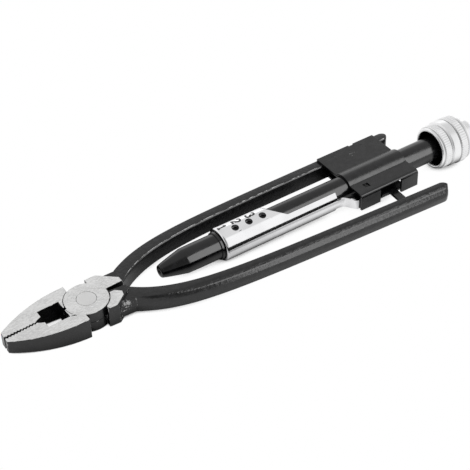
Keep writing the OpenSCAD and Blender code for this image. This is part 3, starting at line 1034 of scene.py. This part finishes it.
@dataclass(frozen=True)
class Rivets:
    """Flush round rivet ends in place of a node of straight pins along Z."""

    node: str
    body: Body
    finish: Finish
    radius: float
    proud: float = 0.06
    edge: float = 0.18
    flat_inset: float = 1.4
    columns: int = 64

    def build(self) -> Thing:
        """One turned pin for each loose solid of the node, found by its vertices' places.

        Returns:
            One piece with all the pins.
        """
        places = read_vectors(frame["nodes"][self.node].data.vertices, "co") / MM
        low, high = places[:, 2].min() - self.proud, places[:, 2].max() + self.proud
        order = np.sort(places[:, 0])
        starts = order[1:][np.diff(order) > self.radius]
        keys = np.searchsorted(starts, places[:, 0], side="right")
        r, flat = self.radius, self.radius - self.flat_inset * self.edge
        outline = np.array([(low, 0), (low, flat), (low, r), (high, r), (high, flat), (high, 0)])
        reach = np.array([0, 0, self.edge, self.edge, 0, 0])
        profile = round_corners(outline, reach, 5, closed=False)[::-1]
        z, out = profile[:, :1], profile[:, 1:]
        angle = turn_angles(self.columns)
        piece = Piece(f"{self.node}_ends")
        for key in np.unique(keys):
            mine = places[keys == key]
            x, y, _ = (mine.min(axis=0) + mine.max(axis=0)) / 2
            piece.add_grid(join(x + out * np.cos(angle), y + out * np.sin(angle), z),
                           close_cols=True)
        return settle(piece.build(), self.finish, self.body, self.node)


# Twist unit

@dataclass(frozen=True)
class NoseAndTube:
    """The gloss nose cap and the satin tube behind it."""

    axis: Axis
    collar: float = 1.3
    collar_edge: float = 0.2
    tip_r: float = 3.0
    tip_round: float = 0.9
    dimple_r: float = 1.2
    dimple_depth: float = 0.6
    dimple_floor: float = 0.75
    dimple_round: float = 0.25
    cone_power: float = 0.9
    break_x: float = 12.0
    break_drop: float = 0.15
    bore_wall: float = 1.0
    tube_chamfer: float = 0.5
    columns: int = 160

    def nose(self) -> Thing:
        """The nose: a rounded tip, r = tip + (break - tip) t^power, a slight taper and the collar.

        Returns:
            The nose.
        """
        low, high = box_mm("nose_cap")
        tip, front = low[0], box_mm("twist_tube")[0][0]
        tube_r, collar_r, edge = radius_mm("twist_tube"), radius_mm("nose_cap"), self.collar_edge
        break_r, bore_r = tube_r - self.break_drop, tube_r - self.bore_wall
        a = np.linspace(0, np.pi / 2, 9)
        blunt = join(tip + self.tip_round * (1 - np.cos(a)),
                     self.tip_r - self.tip_round * (1 - np.sin(a)))
        t = np.linspace(0, 1, 40)[1:]
        cone = join(tip + self.tip_round + (self.break_x - self.tip_round) * t,
                    self.tip_r + (break_r - self.tip_r) * t**self.cone_power)
        floor = tip + self.dimple_depth
        floor_r = self.dimple_floor * self.dimple_r
        dimple = np.array([(floor, 0), (floor, floor_r), (tip, self.dimple_r)])
        back = front - self.collar
        rear = np.array([
            (tip + self.break_x + 0.35, break_r + 0.05), (tip + 1.5 * self.break_x, tube_r),
            (back - 0.05, tube_r), (back, tube_r + 0.05), (back, collar_r - edge),
            (back + edge, collar_r), (front - edge, collar_r), (front, collar_r - edge),
            (front, bore_r), (high[0], bore_r), (high[0], 0)])
        dimple = round_corners(dimple, self.dimple_round, 5, closed=False)
        profile = np.concatenate([dimple, blunt, cone, rear])
        return Piece("nose_cap_turned").turned(self.axis, profile, self.columns).build(sharp_deg=28)

    def tube(self) -> Thing:
        """The tube: a loop of its outside, chamfered rear end and bore.

        Returns:
            The tube.
        """
        (front, *_), (rear, *_) = box_mm("twist_tube")
        r, cut = radius_mm("twist_tube"), self.tube_chamfer
        bore = r - self.bore_wall
        loop = np.array([(front, r), (rear - cut, r), (rear, r - cut), (rear, bore), (front, bore)])
        piece = Piece("twist_tube_turned")
        piece.turned(self.axis, round_corners(loop, 0.15, 4), self.columns, loop=True)
        return piece.build(sharp_deg=40)

    def build(self) -> None:
        """Builds and dresses both pieces."""
        settle(self.nose(), GLOSS, Body.HALF_A, "nose_cap")
        settle(self.tube(), SATIN, Body.HALF_A, "twist_tube")


# Strokes of the numbers 1 to 3, as places across and up
NUMBERS: tuple[tuple[Pairs, ...], ...] = (
    (((-0.6, 0.7), (0.05, 1.0), (0.05, 0.0)), ((-0.6, 0.0), (0.7, 0.0))),
    (((-0.8, 0.72), (-0.6, 0.95), (0.1, 1.02), (0.8, 0.86), (0.75, 0.58), (-0.8, 0.0),
      (0.9, 0.0)),),
    (((-0.8, 0.84), (-0.3, 1.02), (0.6, 0.98), (0.75, 0.68), (0.0, 0.53)),
     ((0.0, 0.53), (0.85, 0.42), (0.8, 0.08), (0.0, -0.03), (-0.85, 0.14))),
)


@dataclass(frozen=True)
class LatchSleeve:
    """Chrome sleeve with a scooped top, three holes and the tail strip that steps out."""

    axis: Axis
    front: float = 65.5
    length: float = 59.0
    radius: float = 7.7
    wall: float = 1.6
    rim: float = 1.0
    edge: float = 0.15
    scoop_from: float = 24.5
    scoop_rise: float = 8.5
    scoop_z: float = 2.3
    scoop_deg: float = 25.0
    hole_start: float = 7.8
    hole_pitch: float = 7.15
    hole_r: float = 1.7
    hole_deg: float = 14.5
    hole_cell: float = 1.35
    hole_clear: float = 0.05
    strip_low: float = -2.8
    strip_high: float = 2.4
    strip_run: float = 3.0
    strip_bend: float = 5.0
    strip_out: float = 11.8
    strip_t: float = 0.9
    number_from: float = 6.6
    number_l: float = 4.0
    number_w: float = 2.7
    number_deg: float = -10.5
    number_line: float = 0.95
    number_round: float = 0.3
    number_rows: int = 60
    number_columns: int = 5
    number_lifts: tuple[float, float] = (0.02, -0.1)

    def holes(self) -> Array:
        """Places of the holes along x."""
        return self.front + self.hole_start + self.hole_pitch * np.arange(len(NUMBERS))

    def scoop_angle(self, x: Array) -> Array:
        """Half angle that the scoop opens at each x, from the height of its edge: cos a = z / r.

        Args:
            x: Places along the sleeve.

        Returns:
            Angles in radians, 0 ahead of the scoop.
        """
        start = self.front + self.scoop_from
        edge = self.radius + (self.scoop_z - self.radius) * unit((x - start) / self.scoop_rise)
        return np.where(x <= start, 0.0, np.arccos(np.clip(edge / self.radius, -1, 1)))

    def outside(self, x: Array) -> Array:
        """Outer radius at each x: full, with a quarter round of the rim's size at the front."""
        t = unit((x - self.front) / self.rim)
        return self.radius - self.rim * (1 - np.sqrt(1 - (1 - t) ** 2))

    def rows(self, sides: Array) -> Array:
        """Places of the grid's rows along x, with the lines across the holes among them.

        Args:
            sides: Grid lines across the square round a hole, from its centre.

        Returns:
            Places along x, in order.
        """
        scoop, holes = self.front + self.scoop_from, self.holes()
        lines = (holes[:, None] + sides).ravel()
        rim = self.front + self.rim * (1 - np.cos(np.linspace(0, np.pi / 2, 8)))
        x = np.unique(np.round(np.concatenate([
            rim, np.linspace(self.front + self.rim, scoop, 24), lines,
            np.linspace(scoop, self.front + self.length, 60)]), 4))
        clear = np.min(np.abs(x[:, None] - holes), axis=1) > sides[-1] + self.hole_clear
        return x[clear | (np.min(np.abs(x[:, None] - lines), axis=1) < 1e-3)]

    def shell(self) -> Thing:
        """The sleeve as a sheet: rows along x, columns round from one scoop edge to the other.

        Returns:
            The sleeve with its wall and its strip.
        """
        cell = self.hole_r * self.hole_cell
        sides = np.linspace(-cell, cell, 9)
        x = self.rows(sides)
        hole, step = math.radians(self.hole_deg), cell / self.radius
        low, high = (math.acos((z - (self.axis.z - MIDDLE)) / self.radius)
                     for z in (self.strip_high, self.strip_low))
        seam = -math.radians(self.scoop_deg)
        angle = np.concatenate([
            np.linspace(seam, hole - step, 9)[:-1], hole + sides / self.radius,
            np.linspace(hole + step, low, 22)[1:], np.linspace(low, high, 15)[1:],
            np.linspace(high, seam + 2 * np.pi, 84)[1:]])
        opened = self.scoop_angle(x)[:, None]
        spread = seam + opened + (angle - seam) * (1 - opened / np.pi)
        points = self.axis.around(x[:, None], self.outside(x)[:, None], spread)
        behind = self.axis.around(x[:, None], self.radius - self.wall, spread)
        quads = grid_quads(len(x), len(angle))
        face_x = np.repeat(x, len(angle))[quads].mean(axis=1)
        face_a = np.tile(angle, len(x))[quads].mean(axis=1)
        in_row = np.min(np.abs(face_x[:, None] - self.holes()), axis=1) < cell
        near = in_row & (np.abs(face_a - hole) < step)
        strip = (spread[-1] >= low - SLACK) & (spread[-1] <= high + SLACK)
        outer, inner, faces = zip((points, behind, quads[~near]), *self.rims(sides, hole),
                                  self.strip(points[-1, strip], behind[-1, strip]))
        starts = np.cumsum([0] + [part.size // 3 for part in outer])
        piece = Piece("latch_sleeve_sheet").add_sheet(
            np.concatenate([part.reshape(-1, 3) for part in outer]),
            np.concatenate([part.reshape(-1, 3) for part in inner]),
            np.concatenate([part + start for part, start in zip(faces, starts)]))
        return piece.build()

    def rims(self, sides: Array, hole: float) -> list[Sheet]:
        """Fills the square round each hole with rings that run from the square to the circle.

        Args:
            sides: Grid lines across the square, from its centre.
            hole: Angle of the holes.

        Returns:
            Outer points, inner points and faces for each hole.
        """
        ends = np.full(len(sides) - 1, sides[-1])
        u = np.concatenate([sides[:-1], ends, sides[:0:-1], -ends])
        v = np.concatenate([-ends, sides[:-1], ends, sides[:0:-1]])
        reach = np.hypot(u, v)
        t = np.linspace(1, 0, 5)[:, None]
        ring_x, ring_v = (w * (1 - t) + w / reach * self.hole_r * t for w in (u, v))
        ring_a = hole + ring_v / self.radius
        quads = grid_quads(*ring_x.shape, close_cols=True)
        return [(self.axis.around(centre + ring_x, self.radius, ring_a),
                 self.axis.around(centre + ring_x, self.radius - self.wall, ring_a), quads)
                for centre in self.holes()]

    def strip(self, edge: Array, behind: Array) -> Sheet:
        """Carries the sheet's near rear edge along an S to the bracket, flattening on the way.

        Args:
            edge: Outer points of the sleeve's rear edge where the strip leaves it.
            behind: The inner points behind them.

        Returns:
            Outer points, inner points and faces.
        """
        rear = box_mm("latch_sleeve")[1][0]
        leave = self.front + self.length
        bend_x = leave + self.strip_run
        bent_x = bend_x + self.strip_bend
        x = np.concatenate([np.linspace(leave, bend_x, 6), np.linspace(bend_x, bent_x, 16)[1:],
                            np.linspace(bent_x, rear, 8)[1:]])
        step = smooth(unit((x - bend_x) / self.strip_bend))[:, None]
        side = self.axis.y - self.radius
        flat = smooth(unit((x - leave) / (bend_x + self.strip_bend / 2 - leave)))[:, None]
        out = side + (edge[:, 1] - side) * (1 - flat) + (-self.strip_out - side) * step
        thin = unit((x - leave) / self.strip_run)[:, None, None]
        wall = (behind - edge) * (1 - thin) + np.array([0, self.strip_t, 0]) * thin
        points = join(x[:, None], out, edge[:, 2])
        return points, points + wall, grid_quads(*out.shape)

    def stroke(self, corners: Pairs, foot: float) -> Sheet:
        """One stroke of a number, as a band laid on the sleeve with its foot to the jaws.

        Args:
            corners: Places of the stroke across and up.
            foot: Where the number's foot is along x.

        Returns:
            Outer points, inner points and faces.
        """
        line = round_corners(np.array(corners), self.number_round, 5, closed=False)
        along = np.append(0, np.cumsum(np.linalg.norm(np.diff(line, axis=0), axis=1)))
        even = np.linspace(0, along[-1], self.number_rows)
        across, up = (np.interp(even, along, part) for part in line.T)
        x = foot + self.number_l * up
        around = math.radians(self.number_deg) * self.radius + self.number_w / 2 * across
        run = np.gradient(join(x, around), axis=0)
        side = join(-run[:, 1], run[:, 0]) / np.linalg.norm(run, axis=1)[:, None]
        reach = self.number_line / 2 * np.linspace(-1, 1, self.number_columns)
        wide_x = x[:, None] + side[:, :1] * reach
        wide_a = (around[:, None] + side[:, 1:] * reach) / self.radius
        outer, inner = (self.axis.around(wide_x, self.radius + lift, wide_a).reshape(-1, 3)
                        for lift in self.number_lifts)
        return outer, inner, grid_quads(*wide_x.shape)[:, ::-1]

    def numbers(self) -> Thing:
        """The stamped numbers ahead of the holes.

        Returns:
            One piece with all the strokes.
        """
        piece = Piece("sleeve_numbers")
        for hole, strokes in zip(self.holes(), NUMBERS):
            for corners in strokes:
                piece.add_sheet(*self.stroke(corners, hole - self.number_from))
        return piece.build(sharp_deg=50)

    def build(self) -> Thing:
        """Builds and dresses the sleeve and its numbers, and returns the sleeve.

        Returns:
            The sleeve.
        """
        thing = self.shell()
        bevel(thing, self.edge, segments=3)
        settle(self.numbers(), SATIN, Body.LATCH)
        return settle(thing, CHROME, Body.LATCH, "latch_sleeve")


@dataclass(frozen=True)
class Bracket:
    """Folded sheet over the tube and on one handle, and the strap under them."""

    axis: Axis
    sheet: float = 1.1
    edge: float = 0.16
    front: float = 133.2
    length: float = 32.3
    plate_y: float = 20.9
    flange_y: float = 13.2
    flange_drop: float = 3.2
    strap_wing: float = 9.6
    fold: float = 2.2
    fillet: float = 1.6
    fold_steps: int = 7
    notch_from: float = 10.8
    notch_l: float = 12.0
    notch_over: float = 0.3
    pierce_from: float = 5.1
    pierce_y: float = 6.4
    pierce_l: float = 2.8
    relief_from: float = 18.1
    relief_l: float = 2.6
    relief_depth: float = 0.7

    def hump(self, top: float, sign: float) -> Array:
        """Arc of the sheet over the tube, from its far foot to its near foot.

        Args:
            top: Height of the flat sheet's outside.
            sign: 1 over the tube and -1 under it.

        Returns:
            Points as y and z, along an arc about the axis.
        """
        r = radius_mm("twist_tube") + self.sheet
        half = math.acos(sign * (top - self.axis.z) / r)
        a = np.linspace(-half, half, 25)
        return join(self.axis.y - r * np.sin(a), self.axis.z + sign * r * np.cos(a))

    def sheet_of(self, name: str, line: Array, x: Array,
                 cuts: tuple[tuple[float, ...], ...] = ()) -> Thing:
        """Sweeps a section along x and leaves out the faces inside any of the cut boxes.

        Args:
            name: Name of the piece.
            line: Section points as y and z.
            x: Places along the sheet.
            cuts: Boxes as (x0, x1, y0, y1, z0, z1).

        Returns:
            The sheet, with no thickness yet.
        """
        points = join(x[:, None], line[:, 0], line[:, 1])
        quads = grid_quads(*points.shape[:2])
        centre = points.reshape(-1, 3)[quads].mean(axis=1)
        gone = np.zeros(len(quads), bool)
        for box in cuts:
            gone |= np.all((centre > box[::2]) & (centre < box[1::2]), axis=1)
        return Piece(name).add(points, quads[~gone]).build(sharp_deg=40)

    def top(self) -> Thing:
        """The folded sheet: plate, hump over the tube, wing and flange, with its three cut-outs.

        Returns:
            The sheet, with no thickness yet.
        """
        handle_top = MIDDLE + HANDLE_T / 2
        top = handle_top + self.sheet
        hump = self.hump(top, 1.0)
        relief_y, pierce_y = self.plate_y - self.relief_depth, -self.pierce_y - self.pierce_l
        corners = np.concatenate([
            [(self.plate_y, top), (relief_y, top)], hump,
            [(-self.pierce_y, top), (pierce_y, top), (-self.flange_y, top),
             (-self.flange_y, MIDDLE - self.flange_drop)]])
        reach = np.zeros(len(corners))
        reach[[2, len(hump) + 1]] = self.fillet
        reach[-2] = self.fold
        line = round_corners(corners, reach, self.fold_steps, closed=False)
        spans = ((self.notch_from, self.notch_l), (self.pierce_from, self.pierce_l),
                 (self.relief_from, self.relief_l))
        notch, pierce, relief = ((self.front + start, self.front + (start + span))
                                 for start, span in spans)
        plain = np.linspace(self.front, self.front + self.length, 18)
        x = np.unique(np.concatenate([plain, notch, pierce, relief]))
        return self.sheet_of("bracket_top_sheet", line, x, (
            (*notch, -FAR, self.fold - self.flange_y, -FAR, handle_top + self.notch_over),
            (*pierce, pierce_y, -self.pierce_y, -FAR, FAR),
            (*relief, relief_y, FAR, -FAR, FAR)))

    def strap(self) -> Thing:
        """The strap under the tube and the handle.

        Returns:
            The sheet, with no thickness yet.
        """
        low, high = box_mm("bracket_bottom")
        low_z = MIDDLE - HANDLE_T / 2 - self.sheet
        corners = np.concatenate([
            [(self.plate_y, low_z)], self.hump(low_z, -1.0), [(-self.strap_wing, low_z)]])
        reach = np.zeros(len(corners))
        reach[[1, -2]] = self.fillet
        line = round_corners(corners, reach, self.fold_steps, closed=False)
        return self.sheet_of("bracket_bottom_sheet", line[::-1], np.linspace(low[0], high[0], 12))

    def build(self) -> tuple[Thing, ...]:
        """Builds, dresses and returns both sheets.

        Returns:
            The top sheet and the strap.
        """
        sheets = {"bracket_top": self.top(), "bracket_bottom": self.strap()}
        for node, thing in sheets.items():
            thicken(thing, self.sheet)
            bevel(thing, self.edge, segments=2)
            keep_flat(thing)
            settle(thing, SHEET, Body.HALF_A, node)
        return tuple(sheets.values())


@dataclass(frozen=True)
class Knob:
    """Turned knob with two straight-knurled bands, a deep cup and a plain end boss."""

    axis: Axis
    front: float = 184.3
    length: float = 16.7
    band_r: float = 10.6
    rear_r: float = 11.4
    band_step: float = 0.6
    cup_r: float = 8.4
    cup_depth: float = 8.2
    floor_t: float = 3.0
    bore: float = 2.46
    cavity_r: float = 6.5
    boss_fit: float = 0.02
    boss_round: float = 1.3
    ridges: int = 60
    ridge: float = 0.24
    ridge_columns: int = 8
    ridge_power: float = 0.8
    band_end: float = 5.5
    rear_start: float = 10.5
    corner: float = 0.16
    grooves: tuple[float, ...] = (1.4, 5.6, 10.4, 14.5)
    groove_w: float = 0.28
    # Share of painted shade in the grooves; the knurl valleys take an eighth of it.
    painted_shade: float = 0.5

    def shell(self) -> Thing:
        """The shell: a closed profile turned about the axis, with ridges cos(n a) on the bands.

        Returns:
            The shell.
        """
        plain = (self.band_r + self.rear_r) / 2
        rim, rear = self.band_r - self.band_step, self.rear_r - self.band_step
        end, floor = self.length, self.cup_depth + self.floor_t
        corners = np.array([
            (1.2, self.cup_r), (0.15, self.cup_r + 0.35), (0, self.cup_r + 0.7), (0, rim - 0.55),
            (0.5, rim), (1.55, rim), (1.7, self.band_r), (5.2, self.band_r), (5.35, rim),
            (5.9, rim), (6.3, plain), (9.9, plain), (10.3, rear), (10.65, rear),
            (10.8, self.rear_r), (14.2, self.rear_r), (14.4, rear), (end - 0.6, rear),
            (end, rear - 0.6), (end, self.cavity_r), (floor, self.cavity_r), (floor, self.bore),
            (self.cup_depth, self.bore), (self.cup_depth, self.cup_r)])
        profile = round_corners(corners + np.array([self.front, 0]), self.corner, 4)
        columns = self.ridges * self.ridge_columns
        points = self.axis.turned(profile, columns)
        along, radius = profile[:, :1] - self.front, profile[:, 1:]
        on_band = np.maximum(
            unit((radius - rim) / (self.band_r - rim)) * (along < self.band_end),
            unit((radius - rear) / (self.rear_r - rear)) * (along > self.rear_start))
        wave = (0.5 - 0.5 * np.cos(self.ridges * turn_angles(columns))) ** self.ridge_power
        centre = np.array([self.axis.y, self.axis.z])
        shrink = 1 - on_band * (wave * self.ridge) / radius
        points[..., 1:] = centre + (points[..., 1:] - centre) * shrink[..., None]
        in_cup = (radius <= self.cup_r + 0.01) & (along < self.cup_depth + 0.1)
        groove = np.any([np.abs(along - at) < self.groove_w for at in self.grooves], axis=0)
        groove &= (radius < np.where(along < 8, rim, rear) + 0.1) & (radius > self.cup_r + 0.5)
        # Painted shade darkens the grooves and, faintly, the deepest part of the knurl valleys.
        painted_shade = np.maximum(self.painted_shade * groove, self.painted_shade / 8 * on_band * wave)
        piece = Piece("knob_shell_turned")
        # Painted shade fills the cup's inside in full, as near black.
        piece.add_grid(points, np.where(in_cup, 1.0, painted_shade), close_rows=True, close_cols=True)
        return piece.build(sharp_deg=34)

    def cap(self) -> Thing:
        """The end boss: a rounded plug turned about the axis, with a shallow centre hole.

        Returns:
            The boss.
        """
        (front, *_), (rear, *_) = box_mm("knob_end_cap")
        r, plug_r = radius_mm("knob_end_cap"), self.cavity_r - self.boss_fit
        x = self.front + self.length
        rows = np.array([
            (front, 0, 0), (front, plug_r, 0.05), (x, plug_r, 0.05), (x, r - 0.3, 0.1),
            (x + 0.3, r, 0.2), (rear - self.boss_round, r, 1.0), (rear, r - self.boss_round, 1.0),
            (rear, 1.6, 0.2), (rear - 0.5, 1.1, 0.2), (rear - 0.5, 0, 0)])
        profile = round_corners(rows[:, :2], rows[:, 2], closed=False)
        return Piece("knob_end_cap_turned").turned(self.axis, profile).build()

    def build(self) -> tuple[Thing, Thing]:
        """Builds and dresses the knob, and returns its shell and its boss."""
        return (settle(self.shell(), KNOB, Body.KNOB, "knob_shell"),
                settle(self.cap(), KNOB, Body.KNOB, "knob_end_cap"))


@dataclass(frozen=True)
class Spindle:
    """Spiral bar that the knob pulls through the drive nut, with its round shank."""

    axis: Axis
    width: float = 6.8
    thick: float = 2.4
    lead: float = 42.0
    edge: float = 0.3
    rows: int = 360
    washer_gap: float = 0.15
    shank_r: float = 2.4
    shank_in: float = 1.0
    shank_chamfer: float = 0.4

    def build(self) -> Thing:
        """The bar: a rounded rectangle turned by 360 deg a lead along x, then the shank.

        Returns:
            The bar with its shank.
        """
        low, high = box_mm("twist_spindle")
        washer, end, cut = box_mm("front_washer")[0][0], high[0], self.shank_chamfer
        x = np.linspace(low[0], washer - self.washer_gap, self.rows)
        half = np.array([self.width, self.thick]) / 2
        ring = round_corners(half * np.array([(1, -1), (1, 1), (-1, 1), (-1, -1)]), self.edge, 5)
        ring = np.concatenate([ring, ring[:1]])
        turn = ((x - low[0]) * 2 * np.pi / self.lead)[:, None]
        y = ring[:, 0] * np.cos(turn) - ring[:, 1] * np.sin(turn)
        z = ring[:, 0] * np.sin(turn) + ring[:, 1] * np.cos(turn)
        points = join(x[:, None], y + self.axis.y, z + self.axis.z)
        piece = Piece("twist_spindle_bar").add_grid(points)
        for ends, order in ((points[:1], -1), (points[-1:], 1)):
            hub = np.broadcast_to(ends.mean(axis=1, keepdims=True), ends.shape)
            piece.add_grid(np.concatenate([ends, hub][::order]))
        start, r = washer - self.shank_in, self.shank_r
        shank = np.array([(start, 0), (start, r), (end - cut, r), (end, r - cut), (end, 0)])
        piece.turned(self.axis, round_corners(shank, 0.1, 3, closed=False), 64)
        return settle(piece.build(), STEEL, Body.SPINDLE, "twist_spindle")


def dress_inner_nodes() -> None:
    """Gives the CAD nodes that stay their finishes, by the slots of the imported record."""
    finishes = {f.slot.value: f for f in (FORGED, SHEET, GLOSS, SATIN, CHROME, KNOB, STEEL, BRASS)}
    for row in frame["record"]["subparts"]:
        finishes[row["material_slot"]].dress_node(row["node"])


# Studio

@dataclass(frozen=True)
class Softbox:
    """Flat white light that faces the object."""

    name: str
    place: Place
    size: tuple[float, float]
    radiance: float
    aim: Place = (0.08, 0.0, 0.0)

    def build(self, pieces: tuple[Thing, ...] = (), link: Link = Link.SPARES) -> None:
        """Adds the lamp; its power is pi times its area times its radiance.

        Args:
            pieces: Pieces that the lamp is linked to.
            link: Whether it spares these pieces or lights nothing else.
        """
        lamp = bpy.data.lights.new(self.name, "AREA")
        lamp.shape = "RECTANGLE"
        lamp.size, lamp.size_y = self.size
        lamp.energy = math.pi * self.size[0] * self.size[1] * self.radiance
        thing = put(self.name, lamp)
        thing.location = self.place
        way = Vector(self.aim) - Vector(self.place)
        thing.rotation_euler = way.to_track_quat("-Z", "Y").to_euler()
        if pieces:
            group = bpy.data.collections.new(f"{self.name}_pieces")
            for piece in pieces:
                group.objects.link(piece)
            for row in group.collection_objects:
                row.light_linking.link_state = link.value
            thing.light_linking.receiver_collection = group


BACK_LIGHT = Softbox("back_light", (0.55, 0.95, 0.40), (1.3, 0.36), 0.3)
FRONT_HIGH = Softbox("front_light_high", (0.3156, -0.3771, 0.4353), (0.50, 0.33), 3.6,
                     (0.0376, 0.0679, 0.1443))
FRONT_LOW = Softbox("front_light_low", (0.4004, -0.5129, 0.1467), (0.50, 0.33), 3.6,
                    (0.1224, -0.0679, -0.1443))
SIDE_LIGHT = Softbox("side_light", (0.3037, -0.5401, 0.135), (0.205, 0.277), 3.4)


@dataclass(frozen=True)
class Studio:
    """White sweep, soft lights and the camera of the photograph."""

    world: float = 0.5
    zenith: float = 0.74
    zenith_z: tuple[float, float] = (0.35, 0.62)
    dim: float = 0.34
    dim_side: Place = (-0.55, -0.70, 0.45)
    dim_cos: tuple[float, float] = (0.55, 0.85)
    bright_side: Place = (0.42, -0.78, 0.46)
    bright_cos: tuple[float, float] = (0.72, 0.9)
    floor_size: float = 6.0
    floor_drop: float = 0.00028
    floor_slope: float = 0.02855
    floor_colour: Colour = (0.9, 0.9, 0.9)
    shade_reach: float = 0.012
    shade_seen: tuple[float, float] = (0.03, 0.33)
    shade_mirrored: tuple[float, float] = (0.2, 1.02)
    white: Colour = (1.0, 1.0, 1.0)
    focal_px: float = 1371.7
    image_px: float = 470.0
    sensor: float = 36.0
    camera_clip: tuple[float, float] = (0.01, 20.0)
    camera_at: Place = (-0.1713, -0.3865, 0.3908)
    camera_right: Place = (0.8301, -0.5567, -0.0308)
    camera_down: Place = (-0.3772, -0.5201, -0.7663)

    def camera(self) -> None:
        """The camera, from the right and down directions of the picture."""
        right = Vector(self.camera_right).normalized()
        down = Vector(self.camera_down)
        down = (down - right * down.dot(right)).normalized()
        turn = Matrix((right, -down, right.cross(-down))).transposed()
        data = bpy.data.cameras.new("camera")
        data.sensor_width = self.sensor
        data.lens = self.focal_px * self.sensor / self.image_px
        data.clip_start, data.clip_end = self.camera_clip
        thing = put("camera", data)
        thing.matrix_world = Matrix.Translation(self.camera_at) @ turn.to_4x4()
        bpy.context.scene.camera = thing

    def sky(self) -> None:
        """White for the camera; for mirrors a tent dimmer overhead and beside the camera."""
        world = bpy.data.worlds.new("studio")
        world.use_nodes = True
        graph = Graph(world.node_tree)
        way = graph.node("ShaderNodeTexCoord").outputs["Generated"]
        up = graph.feed(graph.node("ShaderNodeSeparateXYZ"), Vector=way).outputs["Z"]
        dim, bright = (
            graph.math("DOT_PRODUCT", way, Vector(side).normalized(), "VectorMath")
            for side in (self.dim_side, self.bright_side))
        roof = graph.math("MAXIMUM", graph.ramp(up, *self.zenith_z, 1.0, self.zenith),
                          graph.ramp(bright, *self.bright_cos))
        tent = graph.math("MULTIPLY", roof, graph.ramp(dim, *self.dim_cos, 1.0, self.dim))
        straight, mirrored = graph.rays()
        around = graph.between(mirrored, self.world, tent)
        graph.feed(world.node_tree.nodes["Background"], Color=self.white,
                   Strength=graph.between(straight, around, 1.0))
        bpy.context.scene.world = world

    def floor(self) -> None:
        """A white floor that glows for the camera and darkens under the object.

        It is the plane z = -drop - slope x, which the joint's underside, the sleeve's front edge
        and the knob reach within 0.1 mm.
        """
        half, drop = self.floor_size / 2, self.floor_drop
        front, rear = self.floor_slope * half - drop, -self.floor_slope * half - drop
        mesh = bpy.data.meshes.new("floor")
        mesh.from_pydata([(-half, -half, front), (half, -half, rear), (half, half, rear),
                          (-half, half, front)], [], [(0, 1, 2, 3)])
        thing = put("floor", mesh)
        paint = bpy.data.materials.new("floor")
        paint.use_nodes = True
        nodes = paint.node_tree.nodes
        nodes.remove(nodes["Principled BSDF"])
        graph = Graph(paint.node_tree)
        matt = graph.feed(graph.node("ShaderNodeBsdfDiffuse"), Color=self.floor_colour)
        shade = graph.node("ShaderNodeAmbientOcclusion", samples=16)
        near = graph.feed(shade, Distance=self.shade_reach).outputs["AO"]
        straight, mirrored = graph.rays()
        bright = graph.between(straight, graph.ramp(near, *self.shade_mirrored),
                               graph.ramp(near, *self.shade_seen))
        glow = graph.feed(graph.node("ShaderNodeEmission"), Color=self.white, Strength=bright)
        mixed = graph.feed(graph.node("ShaderNodeMixShader"),
                           Fac=graph.math("MAXIMUM", straight, mirrored))
        graph.give(mixed.inputs[1], matt.outputs[0])
        graph.give(mixed.inputs[2], glow.outputs[0])
        graph.feed(nodes["Material Output"], Surface=mixed.outputs[0])
        mesh.materials.append(paint)

    def build(self, bright: tuple[Thing, ...], level: tuple[Thing, ...], near_bar: Thing) -> None:
        """Sets the view, the camera, the lights and the floor.

        Args:
            bright: Bright pieces, which both front lights would clip to white.
            level: Black pieces whose level top would mirror the low front light to a low view
                from behind.
            near_bar: The handle bar with a long highlight, which the side light has to itself.
        """
        bpy.context.scene.view_settings.view_transform = "Standard"
        self.camera()
        self.sky()
        self.floor()
        BACK_LIGHT.build()
        FRONT_HIGH.build(bright)
        FRONT_LOW.build((*bright, *level, near_bar))
        SIDE_LIGHT.build((near_bar,), Link.LIGHTS_ONLY)


def main() -> None:
    """Builds the sub-assemblies, then the studio."""
    logging.basicConfig(level=logging.INFO, format="%(name)s %(message)s")
    axis = Axis.of_tube()
    dress_inner_nodes()
    head_a, bar_a = ForgedHalf("handle_a", Body.HALF_A, flipped=False).build()
    lug = ((5.0, 9.2), (9.5, 1.7), (12.2, 1.6), (14.7, 3.65), (14.15, 6.1), (9.3, 10.2),
           (6.0, 11.2))
    head_b, bar_b = ForgedHalf("handle_b", Body.HALF_B, flipped=True, lug=lug, rubbed=0.84).build()
    rivet = Rivets("pivot_rivet", Body.HALF_A, STEEL, radius=4.2, proud=0.0, edge=0.25).build()
    Rivets("bracket_rivets", Body.HALF_A, SHEET, radius=1.6).build()
    Rivets("hook_rivets", Body.HALF_B, SHEET, radius=0.9).build()
    NoseAndTube(axis).build()
    sleeve = LatchSleeve(axis).build()
    sheets = Bracket(axis).build()
    knob = Knob(axis).build()
    spindle = Spindle(axis).build()
    Studio().build((head_a, head_b, rivet, sleeve, *knob, spindle), (bar_a, *sheets), bar_b)


if __name__ == "__main__":
    main()
